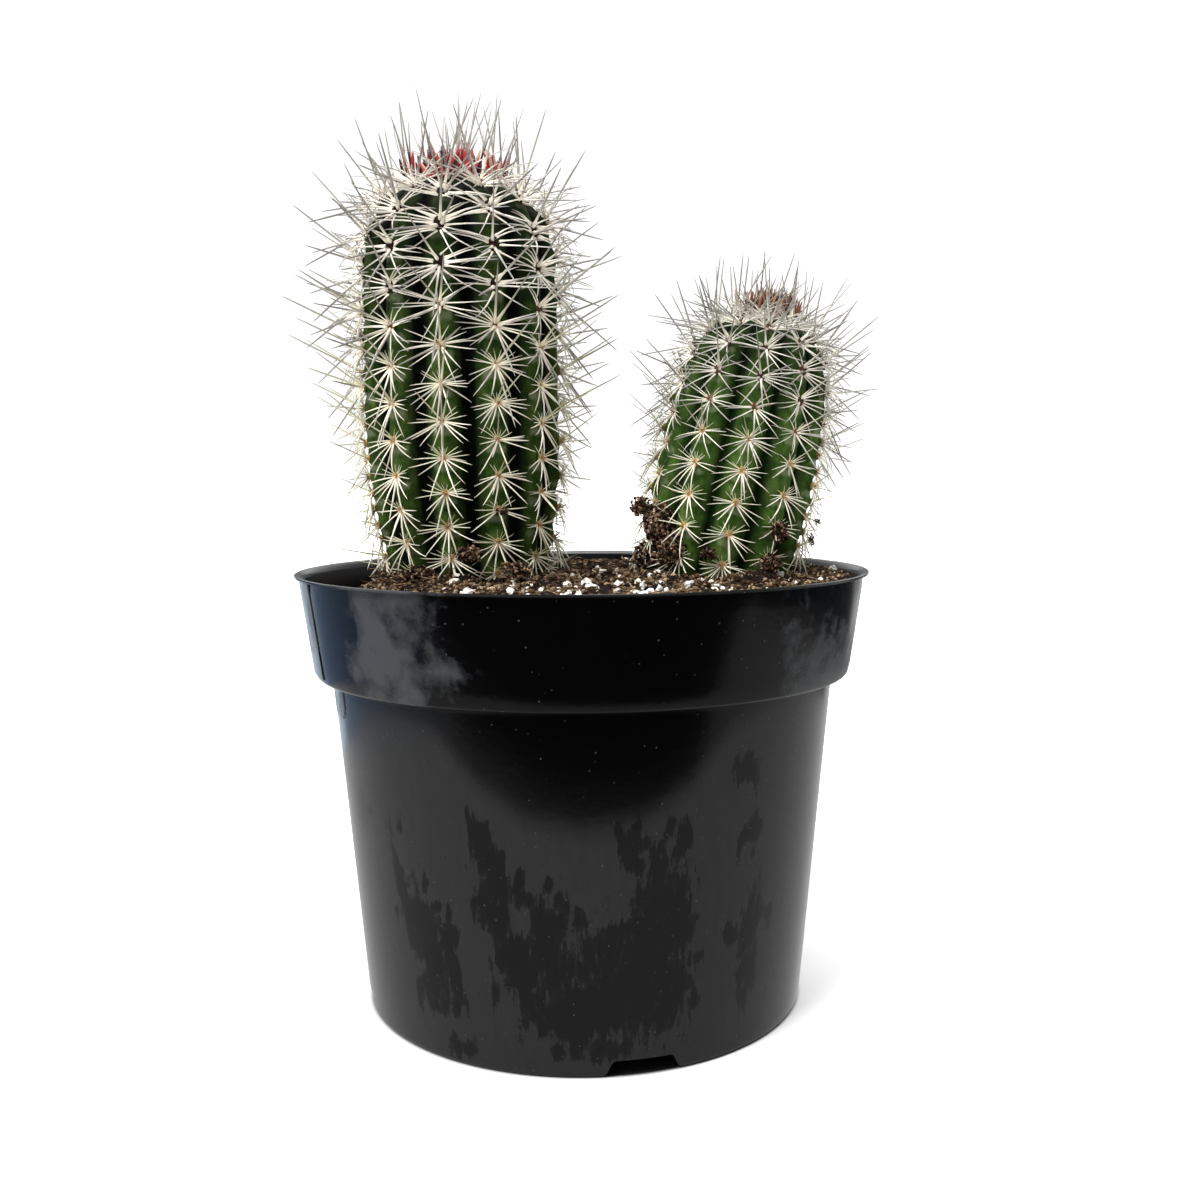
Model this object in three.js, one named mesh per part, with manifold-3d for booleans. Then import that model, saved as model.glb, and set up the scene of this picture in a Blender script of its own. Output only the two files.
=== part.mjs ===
// Two young ribbed column cacti in a round black nursery pot. Millimetres, +Z up.
// The origin is on the pot's axis, at the level of the foot it stands on, and -Y is the front.
import * as THREE from "three";
import { mergeVertices } from "three/addons/utils/BufferGeometryUtils.js";
import Module from "manifold-3d";

const wasm = await Module();
wasm.setup();

const { degToRad: degrees, lerp, smoothstep, clamp } = THREE.MathUtils;

// ---------------------------------------------------------------- driving dimensions

const CLEARANCE = 0.3; // gap between pieces that rest on each other

const pot = {
  height: 121,
  segments: 40,
  wall: 1.2,
  rimRadius: 80,
  lipDepth: 2.4,
  bevel: 0.7,
  bandTopRadius: 78.4,
  bandBottomRadius: 74.8,
  bandBottomZ: 93,
  wallTopRadius: 70.2,
  baseRadius: 62.1,
  cornerRadius: 1.2,
  footWidth: 3.2,
  floorZ: 4.4,
  notchCount: 4,
  notchTurn: degrees(13.3), // first notch, counted from the front towards +X
  notchWidth: 20.7,
  notchTaper: 3,
  notchHeight: 4.3,
  notchReach: 9, // how far it runs in from the outside
  slotLength: 9,
  slotWidth: 7,
  slotInset: 6, // from the outside of the foot to the drain slot
  panelTurn: degrees(-79.5), // middle of the raised panel, from the front towards -X
  panelWidth: degrees(32),
  panelThickness: 0.8,
  panelBottomZ: 83.3,
};

const mix = {
  level: 119,
  seed: 11,
  segments: 32,
  ripple: 0.7,
  sunkEdgeX: -56, // left of here the mix falls away from the wall
  sunkWidth: 9,
  sunkDepth: 9,
  collarHeight: 2.4, // the mix heaped up against each stem
  collarWidth: 13,
  clod: { x: 17.5, y: -4, radius: 6.5, height: 15 }, // clings to the foot of the short stem
  crumbs: { count: 8, size: [1.5, 2.6], x: [-60, 74], y: [-70, 70] },
  perlite: { count: 14, size: [1.5, 3], x: [-40, 44], y: [-66, -18] },
  holeSegments: 28,
  holeTop: 24, // each stem's hole is cut up to this height over the mix, past the clod
};

// A stem's profile runs from the crown to the buried end, as heights over the mix and radii.
const tall = {
  name: "tall_cactus",
  color: 0x3f6135,
  base: [-34.2, 7, mix.level],
  lean: 0,
  bow: 1.5, // how far the foot of the stem lies to the right of its middle
  bowHeight: 60,
  ribs: 12,
  ribTurn: degrees(-5.5),
  ribDepth: 0.135,
  profile: [
    [110.8, 0.5], [110.5, 6], [108.8, 13], [105.5, 19], [100.5, 23.5], [92.5, 26.5], [82, 27.5],
    [60, 27.7], [36, 27.5], [20, 26.2], [9, 24.2], [0, 22], [-12, 18.5], [-22, 13],
  ],
  rows: 13,
  firstRow: 1.36, // the row of the highest areole on the first rib
  pitch: 12, // spacing of the areoles below the crown
  pitchLoss: 0.14, // and how it tightens towards the foot
  spines: { radial: 10.2, radialTop: 13, central: 14.5, centralTop: 24 },
  seed: 11,
};

const short = {
  name: "short_cactus",
  color: 0x4a7340,
  base: [38.3, 4, mix.level],
  lean: degrees(11.5),
  bow: 0,
  bowHeight: 1,
  ribs: 11,
  ribTurn: degrees(-3),
  ribDepth: 0.12,
  profile: [
    [73.3, 0.5], [73, 5], [70.8, 11.5], [66.8, 16.3], [60.8, 19.3], [52, 21.2],
    [40, 22.2], [24, 22.5], [10, 21.6], [0, 20], [-10, 17.5], [-19, 12],
  ],
  rows: 11,
  firstRow: 0.96,
  pitch: 8.8,
  pitchLoss: 0.004,
  spines: { radial: 9.4, radialTop: 12, central: 11.5, centralTop: 14.5 },
  seed: 15,
};

// Young areoles crowd together at the crown. This many rows take part in the crowding.
const CROWDED_ROWS = 1.6;
const CREST_HALF = 0.2; // half the width of a rib's flat crest, counted in ribs
const AREOLE = { radius: 1.4, height: 0.9, edge: 0.3, root: 1.5, lowest: 3.5 };
// Where each spine points: its turn from straight up the rib, and its rise off the stem.
const SPINES = [
  { turn: 0, rise: 58, isLong: true },
  { turn: 74, rise: 22, isLong: false },
  { turn: 144, rise: 24, isLong: false },
  { turn: 216, rise: 24, isLong: false },
  { turn: 286, rise: 22, isLong: false },
];
// How a spine in the way is moved: degrees turned aside and raised, until it is clear.
const MOVES = [[0, 0], [8, 4], [-8, 4], [0, 12], [12, 16], [-12, 16], [0, 26], [0, 38]];
const JITTER = { length: 0.12, turn: 8, rise: [-4, 8] };
// Spines are longest, and rise most, near the crown: the shares of the height where that starts
// and where it is full.
const CROWN = { from: 0.4, full: 0.78, raise: 8 };
const SPINE_GAP = 0.9; // least distance between the middle lines of two areoles' spines
// How far a spine's middle line keeps from the mix, from the pot's wall and over its rim.
const KEEP_OFF = { mix: 1.2, wall: 3, rim: 2 };
// Below this height the two plants' spines keep to their own side of a plane between them.
const PARTING = { x: 8.3, margin: 0.8, topZ: 180 };

// ---------------------------------------------------------------- solids

/** A closed mesh as a solid. */
function solid(geometry) {
  const bare = geometry.clone();
  bare.deleteAttribute("normal");
  bare.deleteAttribute("uv");
  const merged = mergeVertices(bare, 1e-4);
  return new wasm.Manifold(
    new wasm.Mesh({
      numProp: 3,
      vertProperties: new Float32Array(merged.attributes.position.array),
      triVerts: new Uint32Array(merged.index.array),
    }),
  );
}

/** A solid as a geometry, with one normal to each face. */
function geometryOf(body) {
  const mesh = body.getMesh();
  const geometry = new THREE.BufferGeometry()
    .setAttribute("position", new THREE.BufferAttribute(mesh.vertProperties, 3))
    .setIndex(new THREE.BufferAttribute(mesh.triVerts, 1))
    .toNonIndexed();
  geometry.computeVertexNormals();
  return geometry;
}

/** A closed skin from pole to pole over rings that run anticlockwise, seen from the last pole. */
function skin(firstPole, rings, lastPole) {
  const count = rings[0].length;
  const points = [firstPole, ...rings.flat(), lastPole];
  const at = (ring, i) => 1 + ring * count + (i % count);
  const faces = [];
  for (let i = 0; i < count; i++) {
    faces.push(0, at(0, i + 1), at(0, i));
    faces.push(points.length - 1, at(rings.length - 1, i), at(rings.length - 1, i + 1));
    for (let ring = 0; ring + 1 < rings.length; ring++) {
      faces.push(at(ring, i), at(ring + 1, i + 1), at(ring + 1, i));
      faces.push(at(ring, i), at(ring, i + 1), at(ring + 1, i + 1));
    }
  }
  return new THREE.BufferGeometry().setFromPoints(points).setIndex(faces);
}

/** A random number between two limits, from a seed that gives the same numbers on every run. */
function randomFrom(seed) {
  const stream = { state: seed * 9301 + 49297 };
  return (low, high) => {
    stream.state = (stream.state * 1664525 + 1013904223) % 2 ** 32;
    return low + ((high - low) * stream.state) / 2 ** 32;
  };
}

/** Turns a shape that is drawn round the Y axis to stand up along Z. */
function standUp(geometry) {
  return geometry.rotateX(Math.PI / 2);
}

// ---------------------------------------------------------------- pot

/** The radius of the pot's outside at a height: the wall, or the band over it. */
function outerRadius(z) {
  if (z < pot.bandBottomZ + pot.wall) {
    return lerp(pot.baseRadius, pot.wallTopRadius, z / pot.bandBottomZ);
  }
  const up = (z - pot.bandBottomZ) / (pot.height - pot.lipDepth - pot.bandBottomZ);
  return lerp(pot.bandBottomRadius, pot.bandTopRadius, up);
}

/** The radius of the pot's inside at a height. */
function innerRadius(z) {
  return outerRadius(z) - pot.wall;
}

/** A rounded outer corner, as [radius, z] points from its underside to its side. */
function corner(outerR, bottomZ) {
  const round = pot.cornerRadius;
  return [-90, -45, 0].map((turn) => [
    outerR - round + round * Math.cos(degrees(turn)),
    bottomZ + round + round * Math.sin(degrees(turn)),
  ]);
}

/** The pot's cross-section: up the outside, over the lip, and down the inside to the floor. */
function potOutline() {
  const { bevel } = pot;
  const footInner = pot.baseRadius - pot.footWidth;
  const lipBottom = pot.height - pot.lipDepth;
  const ledge = pot.bandBottomZ + pot.wall;
  return [
    [0, pot.floorZ],
    [footInner, pot.floorZ],
    [footInner, 0],
    ...corner(pot.baseRadius, 0),
    [pot.wallTopRadius, pot.bandBottomZ],
    ...corner(pot.bandBottomRadius, pot.bandBottomZ),
    [pot.bandTopRadius, lipBottom],
    [pot.rimRadius, lipBottom + bevel],
    [pot.rimRadius, pot.height - bevel],
    [pot.rimRadius - bevel, pot.height],
    [innerRadius(lipBottom) + bevel, pot.height],
    [innerRadius(lipBottom), pot.height - bevel],
    [innerRadius(ledge), ledge],
    [pot.wallTopRadius - pot.wall, ledge],
    [innerRadius(pot.floorZ + pot.wall), pot.floorZ + pot.wall],
    [0, pot.floorZ + pot.wall],
  ];
}

/** A sheet of the raised panel between two heights, which follows the pot's taper. */
function panelSheet(bottomZ, topZ, cornerLift) {
  const steps = 6;
  const sink = 0.6; // how far it is let into the wall
  const place = (turn, radius, z) =>
    new THREE.Vector3(radius * Math.sin(turn), -radius * Math.cos(turn), z);
  const sections = [];
  for (let i = 0; i <= steps; i++) {
    const across = (2 * i) / steps - 1;
    const turn = pot.panelTurn + (across * pot.panelWidth) / 2;
    const low = bottomZ + cornerLift * smoothstep(Math.abs(across), 0.6, 1);
    sections.push([
      place(turn, outerRadius(low) - sink, low),
      place(turn, outerRadius(topZ) - sink, topZ),
      place(turn, outerRadius(topZ) + pot.panelThickness, topZ),
      place(turn, outerRadius(low) + pot.panelThickness, low),
    ]);
  }
  const middle = (section) => new THREE.Vector3().lerpVectors(section[0], section[2], 0.5);
  return solid(skin(middle(sections[0]), sections, middle(sections[steps])));
}

/** The outline of a notch in the foot, wider at the bottom, drawn past the foot's underside. */
function notchShape() {
  const half = pot.notchWidth / 2;
  const straight = 0.4; // height of its sides before they lean in
  const points = [
    [-half, -1], [half, -1], [half, straight], [half - pot.notchTaper, pot.notchHeight],
    [pot.notchTaper - half, pot.notchHeight], [-half, straight],
  ];
  return new THREE.Shape(points.map(([x, z]) => new THREE.Vector2(x, z)));
}

/** Where the foot is open: each notch through the ring, and a slot in the floor behind it. */
function drainCuts() {
  const cuts = [];
  for (let i = 0; i < pot.notchCount; i++) {
    const turn = pot.notchTurn + (2 * Math.PI * i) / pot.notchCount;
    const depth = pot.notchReach + pot.wall * 4;
    const notch = new THREE.ExtrudeGeometry(notchShape(), { depth, bevelEnabled: false });
    standUp(notch).translate(0, pot.notchReach - pot.baseRadius, 0);
    const slot = new THREE.BoxGeometry(pot.slotWidth, pot.slotLength, 4 * pot.wall);
    const slotMiddle = pot.baseRadius - pot.slotInset - pot.slotLength / 2;
    slot.translate(0, -slotMiddle, pot.floorZ + pot.wall / 2);
    cuts.push(solid(notch.rotateZ(turn)), solid(slot.rotateZ(turn)));
  }
  return cuts;
}

function makePot() {
  const outline = potOutline().map(([r, z]) => new THREE.Vector2(r, z));
  const shell = solid(standUp(new THREE.LatheGeometry(outline, pot.segments)));
  const intoLip = pot.height - pot.lipDepth + pot.bevel;
  const onBand = panelSheet(pot.bandBottomZ + pot.cornerRadius, intoLip, 0);
  const underStep = panelSheet(pot.panelBottomZ, pot.bandBottomZ + 0.6, 4);
  const whole = shell.add(onBand).add(underStep);
  return drainCuts().reduce((body, cut) => body.subtract(cut), whole);
}

// ---------------------------------------------------------------- potting mix

/** How far a point of the mix lies from the foot of a stem's middle line. */
function fromFoot(stem, x, y) {
  return Math.hypot(x - stem.base[0] - stem.bow, y - stem.base[1]);
}

/** A stem's radius where it enters the mix. */
function footRadius(stem) {
  return stem.profile.find(([height]) => height === 0)[1];
}

/** The height of the mix: level, with ripples, a sunk left edge, a collar at each stem, a clod. */
function mixHeight(x, y) {
  const waves = Math.sin(0.21 * x + 1) * Math.cos(0.17 * y) + 0.6 * Math.sin(0.43 * y - 0.31 * x);
  const sunk = smoothstep(mix.sunkEdgeX - x, 0, mix.sunkWidth);
  const nearest = Math.min(...[tall, short].map((stem) => fromFoot(stem, x, y) - footRadius(stem)));
  const collar = Math.exp(-((Math.max(0, nearest) / mix.collarWidth) ** 2));
  const { clod } = mix;
  const fromClod = Math.hypot(x - clod.x, y - clod.y) / clod.radius;
  return (
    mix.level - 1 + mix.ripple * waves * (1 - sunk) - mix.sunkDepth * sunk +
    mix.collarHeight * collar + clod.height * Math.exp(-(fromClod ** 2))
  );
}

/** The packed mix before the stems stand in it, clear of the pot all round. */
function mixBody() {
  const ring = (pointAt) =>
    Array.from({ length: mix.segments }, (_, i) => pointAt((2 * Math.PI * i) / mix.segments));
  // The flats of the pot's inner wall lie inside its circle, so the mix is drawn in to match.
  const flat = Math.cos(Math.PI / pot.segments);
  const level = (radius, z) =>
    ring((a) => new THREE.Vector3(radius * flat * Math.cos(a), radius * flat * Math.sin(a), z));
  const floor = pot.floorZ + pot.wall + CLEARANCE;
  const ledge = pot.bandBottomZ + pot.wall;
  const rings = [
    level(innerRadius(floor) - CLEARANCE, floor),
    level(pot.wallTopRadius - pot.wall - CLEARANCE, ledge + CLEARANCE),
    level(innerRadius(ledge) - CLEARANCE, ledge + CLEARANCE),
  ];
  const lowestEdge = mix.level - mix.sunkDepth - 2;
  const topRadius = (innerRadius(lowestEdge) - CLEARANCE) * flat;
  for (const share of [1, 0.93, 0.84, 0.73, 0.61, 0.48, 0.34, 0.18]) {
    rings.push(
      ring((a) => {
        const [x, y] = [topRadius * share * Math.cos(a), topRadius * share * Math.sin(a)];
        return new THREE.Vector3(x, y, mixHeight(x, y));
      }),
    );
  }
  const bottom = new THREE.Vector3(0, 0, floor);
  return solid(skin(bottom, rings, new THREE.Vector3(0, 0, mixHeight(0, 0))));
}

/** True where a lump of this size would lie clear of the stems and of the pot's wall. */
function isOpenGround(x, y, size) {
  const clearOfStems = [tall, short].every(
    (stem) => fromFoot(stem, x, y) > footRadius(stem) + size + 6,
  );
  const clearOfWall = Math.hypot(x, y) < innerRadius(mix.level) - size - 4;
  return clearOfStems && clearOfWall && x > mix.sunkEdgeX;
}

/** Crumbs all over the mix, and perlite that lies thickest at the front, as lumps half sunk in. */
function looseBits() {
  const random = randomFrom(mix.seed);
  const bits = [];
  for (const kind of [mix.crumbs, mix.perlite]) {
    const wanted = bits.length + kind.count;
    while (bits.length < wanted) {
      const [size, x, y] = [random(...kind.size), random(...kind.x), random(...kind.y)];
      if (!isOpenGround(x, y, size)) continue;
      const lump = new THREE.IcosahedronGeometry(size, 0);
      lump.scale(random(0.8, 1.3), random(0.8, 1.3), random(0.6, 0.9));
      lump.rotateX(random(0, Math.PI)).rotateZ(random(0, 2 * Math.PI));
      bits.push(solid(lump.translate(x, y, mixHeight(x, y) + size * 0.15)));
    }
  }
  return bits;
}

/** The stem's foot, grown by the clearance and run up past the mix, for the hole it stands in. */
function stemHole(stem) {
  const grow = 2.5 * CLEARANCE; // room for the flats of the hole and for the areoles
  const buried = stem.profile.filter(([height]) => height <= mix.holeTop).reverse();
  const bottom = buried[0][0] - CLEARANCE;
  const outline = [new THREE.Vector2(0, bottom), new THREE.Vector2(buried[0][1] + grow, bottom)];
  for (const [height, radius] of buried.slice(1)) {
    outline.push(new THREE.Vector2(radius + grow, height));
  }
  outline.push(new THREE.Vector2(0, outline.at(-1).y));
  const hole = standUp(new THREE.LatheGeometry(outline, mix.holeSegments));
  return solid(hole.translate(stem.bow, 0, 0).applyMatrix4(placementOf(stem)));
}

function makeMix() {
  const heaped = wasm.Manifold.union([mixBody(), ...looseBits()]);
  return [tall, short].reduce((body, stem) => body.subtract(stemHole(stem)), heaped);
}

// ---------------------------------------------------------------- cactus stems

/** A stem's own place: stood on the mix and leant to its side. */
function placementOf(stem) {
  return new THREE.Matrix4()
    .makeTranslation(...stem.base)
    .multiply(new THREE.Matrix4().makeRotationY(stem.lean));
}

/** The meridian as a smooth curve, met by its length from the crown. */
function meridianOf(stem) {
  const curve = new THREE.SplineCurve(stem.profile.map(([h, r]) => new THREE.Vector2(r, h)));
  const length = curve.getLength();
  return (distance) => curve.getPointAt(Math.min(1, distance / length));
}

/** How far down the meridian a row lies: crowded at the crown, then at the pitch. */
function rowDistance(stem, row) {
  const opened = row + CROWDED_ROWS * (Math.exp(-row / CROWDED_ROWS) - 1);
  return stem.pitch * opened - stem.pitchLoss * opened ** 2;
}

/** A point of the stem's skin, for a row down from the crown and a way round counted in ribs. */
function stemPoint(stem, meridian, row, way) {
  const { x: radius, y: height } = meridian(rowDistance(stem, row));
  const offCrest = Math.abs(way - Math.round(way));
  const flank = clamp((offCrest - CREST_HALF) / (0.5 - CREST_HALF), 0, 1);
  const above = lerp(0.25, 1, smoothstep(height, -4, 6)); // the ribs fade where it is buried
  const reach = radius * (1 - stem.ribDepth * flank * above);
  const turn = stem.ribTurn + (2 * Math.PI * way) / stem.ribs;
  const bow = stem.bow * clamp(1 - height / stem.bowHeight, 0, 1) ** 2;
  return new THREE.Vector3(reach * Math.sin(turn) + bow, -reach * Math.cos(turn), height);
}

/** The row at which the stem has come down to a height. */
function rowAtHeight(stem, meridian, height) {
  const rows = Array.from({ length: 400 }, (_, i) => 2 + i / 20);
  return rows.find((row) => meridian(rowDistance(stem, row)).y <= height);
}

/** The ribbed column from the crown to its buried end, with two rings to each row of areoles. */
function stemBody(stem, meridian) {
  const soilRow = rowAtHeight(stem, meridian, -1);
  const endRow = rowAtHeight(stem, meridian, stem.profile.at(-1)[0] + 0.2);
  const rows = [];
  for (let row = 0.75; row < soilRow - 0.25; row += 0.5) rows.push(row);
  rows.push(soilRow, (soilRow + endRow) / 2, endRow);
  const ways = [];
  for (let rib = stem.ribs; rib > 0; rib--) {
    ways.push(rib + CREST_HALF, rib - CREST_HALF, rib - 0.5);
  }
  const rings = rows.map((row) => ways.map((way) => stemPoint(stem, meridian, row, way)));
  const crown = new THREE.Vector3(0, 0, stem.profile[0][0]);
  const foot = new THREE.Vector3(stem.bow, 0, stem.profile.at(-1)[0]);
  return solid(skin(crown, rings, foot));
}

/**
 * The areoles of a stem: where each sits, and which ways are up the rib, across it and out. Those of
 * every other rib lie half a row lower.
 */
function areolesOf(stem, meridian) {
  const found = [];
  for (let rib = 0; rib < stem.ribs; rib++) {
    for (let row = stem.firstRow + (rib % 2) / 2; row <= stem.rows; row++) {
      const at = stemPoint(stem, meridian, row, rib);
      const inPot = at.clone().applyMatrix4(placementOf(stem));
      if (inPot.z < mixHeight(inPot.x, inPot.y) + AREOLE.lowest) continue;
      const above = stemPoint(stem, meridian, row - 0.25, rib);
      const up = above.sub(stemPoint(stem, meridian, row + 0.25, rib)).normalize();
      const turn = stem.ribTurn + (2 * Math.PI * rib) / stem.ribs;
      const across = new THREE.Vector3(Math.cos(turn), Math.sin(turn), 0);
      const out = new THREE.Vector3().crossVectors(across, up).normalize();
      found.push({ at, up, across, out, share: at.z / stem.profile[0][0] });
    }
  }
  return found.sort((a, b) => b.share - a.share);
}

/** The direction at an areole that is turned from straight up the rib and rises off the stem. */
function directionAt(areole, turn, rise) {
  return new THREE.Vector3()
    .addScaledVector(areole.up, Math.cos(turn) * Math.cos(rise))
    .addScaledVector(areole.across, Math.sin(turn) * Math.cos(rise))
    .addScaledVector(areole.out, Math.sin(rise));
}

/** True if a spine runs clear of the mix, the pot's rim and the other plant. */
function isInTheOpen(stem, spine) {
  return [0.3, 0.5, 0.7, 0.85, 1].every((share) => {
    const p = spine.at(share, new THREE.Vector3()).applyMatrix4(placementOf(stem));
    const inside = Math.hypot(p.x, p.y) < innerRadius(mix.level) - KEEP_OFF.wall;
    const offRim = inside || p.z > pot.height + KEEP_OFF.rim;
    const side = stem === tall ? PARTING.x - p.x : p.x - PARTING.x;
    const offOther = side > PARTING.margin || p.z > PARTING.topZ;
    return p.z > mixHeight(p.x, p.y) + KEEP_OFF.mix && offRim && offOther;
  });
}

/** True if a spine keeps its distance from the spines of the other areoles. */
function keepsApart(spine, others) {
  return others.every((other) => spine.distanceSqToLine3(other) > SPINE_GAP ** 2);
}

/** One spine's middle line, moved step by step until it is clear, or null where it can't be. */
function growSpine(stem, areole, spine, others, random) {
  const nearTop = smoothstep(areole.share, CROWN.from, CROWN.full);
  const { radial, radialTop, central, centralTop } = stem.spines;
  const full = spine.isLong
    ? lerp(central, centralTop, nearTop)
    : lerp(radial, radialTop, nearTop);
  const length = full * random(1 - JITTER.length, 1 + JITTER.length);
  const turn = degrees(spine.turn + random(-JITTER.turn, JITTER.turn));
  const rise = degrees(spine.rise + random(...JITTER.rise) + CROWN.raise * nearTop);
  for (const [aside, raised] of MOVES) {
    const direction = directionAt(areole, turn + degrees(aside), rise + degrees(raised));
    const tip = areole.at.clone().addScaledVector(direction, length * (1 - raised / 100));
    const line = new THREE.Line3(areole.at, tip);
    if (isInTheOpen(stem, line) && keepsApart(line, others)) return line;
  }
  return null;
}

/** An areole with its spines: a small felt cushion whose top faces are each drawn out to a tip. */
function areoleStar(areole, lines) {
  const place = (turn, radius, height) =>
    areole.at
      .clone()
      .addScaledVector(directionAt(areole, turn, 0), radius)
      .addScaledVector(areole.out, height);
  const points = [place(0, 0, AREOLE.height), place(0, 0, -AREOLE.root)];
  SPINES.forEach(({ turn }, i) => {
    const back = (turn - SPINES.at(i - 1).turn + 360) % 360;
    points.push(place(degrees(turn - back / 2), AREOLE.radius, AREOLE.edge));
  });
  const faces = [];
  lines.forEach((line, i) => {
    const [edge, nextEdge] = [2 + i, 2 + ((i + 1) % lines.length)];
    faces.push(edge, nextEdge, 1);
    if (line === null) {
      faces.push(0, nextEdge, edge);
      return;
    }
    const tip = points.push(line.end) - 1;
    faces.push(tip, 0, nextEdge, tip, nextEdge, edge, tip, edge, 0);
  });
  return solid(new THREE.BufferGeometry().setFromPoints(points).setIndex(faces));
}

function makeCactus(stem) {
  const meridian = meridianOf(stem);
  const random = randomFrom(stem.seed);
  const grown = [];
  const stars = [];
  for (const areole of areolesOf(stem, meridian)) {
    const lines = SPINES.map((spine) => growSpine(stem, areole, spine, grown, random));
    grown.push(...lines.filter((line) => line !== null));
    stars.push(areoleStar(areole, lines));
  }
  return wasm.Manifold.union([stemBody(stem, meridian), ...stars]);
}

// ---------------------------------------------------------------- the object

function piece(name, body, color, roughness) {
  const material = new THREE.MeshStandardMaterial({ color, roughness, metalness: 0 });
  const mesh = new THREE.Mesh(geometryOf(body), material);
  mesh.name = name;
  return mesh;
}

const plant = new THREE.Group();
plant.add(piece("pot", makePot(), 0x17181a, 0.45));
plant.add(piece("potting_mix", makeMix(), 0x4d3826, 0.95));
for (const stem of [tall, short]) {
  const cactus = piece(stem.name, makeCactus(stem), stem.color, 0.6);
  cactus.position.set(...stem.base);
  cactus.rotation.y = stem.lean;
  plant.add(cactus);
}

export default plant;
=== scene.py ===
# %% [markdown]
# # Two column cacti in a nursery pot
#
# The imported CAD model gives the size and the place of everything: the pot, the potting mix and the two
# plants. Here each of them gets the surface that a camera sees. Every piece is worked out with numpy,
# as a surface of two parameters or as many small shapes laid out by a rule, and then put into a mesh.

# %% Load the frame
from itertools import combinations
from types import SimpleNamespace

import bpy
import numpy as np
from mathutils import Matrix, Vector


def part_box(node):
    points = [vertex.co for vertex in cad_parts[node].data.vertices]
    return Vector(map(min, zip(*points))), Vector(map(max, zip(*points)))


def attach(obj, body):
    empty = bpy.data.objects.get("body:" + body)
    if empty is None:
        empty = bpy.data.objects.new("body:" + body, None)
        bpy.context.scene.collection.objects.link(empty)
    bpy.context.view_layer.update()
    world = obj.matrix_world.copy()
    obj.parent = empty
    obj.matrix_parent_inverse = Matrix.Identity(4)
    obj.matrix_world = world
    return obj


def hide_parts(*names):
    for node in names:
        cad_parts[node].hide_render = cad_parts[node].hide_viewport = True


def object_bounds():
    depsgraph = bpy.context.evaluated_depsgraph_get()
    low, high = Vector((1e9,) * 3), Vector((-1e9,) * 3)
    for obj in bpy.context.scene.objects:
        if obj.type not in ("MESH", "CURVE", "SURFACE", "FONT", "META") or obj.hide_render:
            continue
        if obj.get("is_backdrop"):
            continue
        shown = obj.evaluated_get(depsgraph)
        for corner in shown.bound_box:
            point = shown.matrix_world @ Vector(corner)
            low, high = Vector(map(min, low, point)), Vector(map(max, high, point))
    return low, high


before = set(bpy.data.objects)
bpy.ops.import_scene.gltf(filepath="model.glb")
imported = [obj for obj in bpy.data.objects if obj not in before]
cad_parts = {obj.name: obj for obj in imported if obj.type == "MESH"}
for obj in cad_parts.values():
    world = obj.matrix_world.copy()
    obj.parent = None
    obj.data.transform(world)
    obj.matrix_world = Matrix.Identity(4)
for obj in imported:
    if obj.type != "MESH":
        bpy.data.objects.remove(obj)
cad_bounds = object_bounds()
MM = 0.001
print("CAD box in mm:", [[round(value / MM, 1) for value in corner] for corner in cad_bounds])

# %% [markdown]
# ## The camera
#
# The camera comes first, because it settles what shows. The photograph was taken from a little over the
# rim, close enough for the pot's foot to look clearly narrower than its rim. The camera's place was
# worked out from the ellipses of the rim, the step and the foot.

# %% Camera
CAMERA_PLACE = np.array([0.0, -354.2, 147.46]) * MM
PITCH, TURN, ROLL = 0.1004, 0.0141, -0.0059  # radians: downwards, to the right, and about the view
LENS, SENSOR = 37.35, 36  # mm


def unit(vectors):
    """Each vector divided by its own length."""
    return vectors / np.maximum(np.linalg.norm(vectors, axis=-1, keepdims=True), 1e-6)


def aim(thing, place, forward, roll=0.0):
    """Stands a camera or a lamp at a place, looking forward: its right is level, then rolled."""
    level = unit(np.cross(forward, [0, 0, 1]))
    right = np.cos(roll) * level + np.sin(roll) * np.cross(level, forward)
    axes = Matrix(np.stack([right, np.cross(right, forward), -forward], axis=1).tolist())
    thing.matrix_world = Matrix.LocRotScale(place.tolist(), axes.to_quaternion(), None)
    bpy.context.scene.collection.objects.link(thing)


lens = bpy.data.cameras.new("camera")
lens.lens, lens.sensor_width, lens.clip_start = LENS, SENSOR, 0.01
camera = bpy.data.objects.new("camera", lens)
forward = np.array([np.sin(TURN) * np.cos(PITCH), np.cos(TURN) * np.cos(PITCH), -np.sin(PITCH)])
aim(camera, CAMERA_PLACE, forward, ROLL)
bpy.context.scene.camera = camera
print("camera looks along", forward.round(3))

# %% [markdown]
# ## From arrays to meshes
#
# Each piece below ends as an array of points in millimetres and one or more arrays of faces. One helper
# puts them into a mesh, in metres, with `foreach_set`, which is far quicker than a loop. Values that
# change over the surface, such as a spine's age, go along as point attributes for the material to read.


# %% Mesh helpers
def add_values(mesh, values):
    """Gives each point of a mesh its own numbers, which the finish can read by name."""
    for key, column in values.items():
        mesh.attributes.new(key, "FLOAT", "POINT").data.foreach_set("value", column.astype(np.float32))


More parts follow.
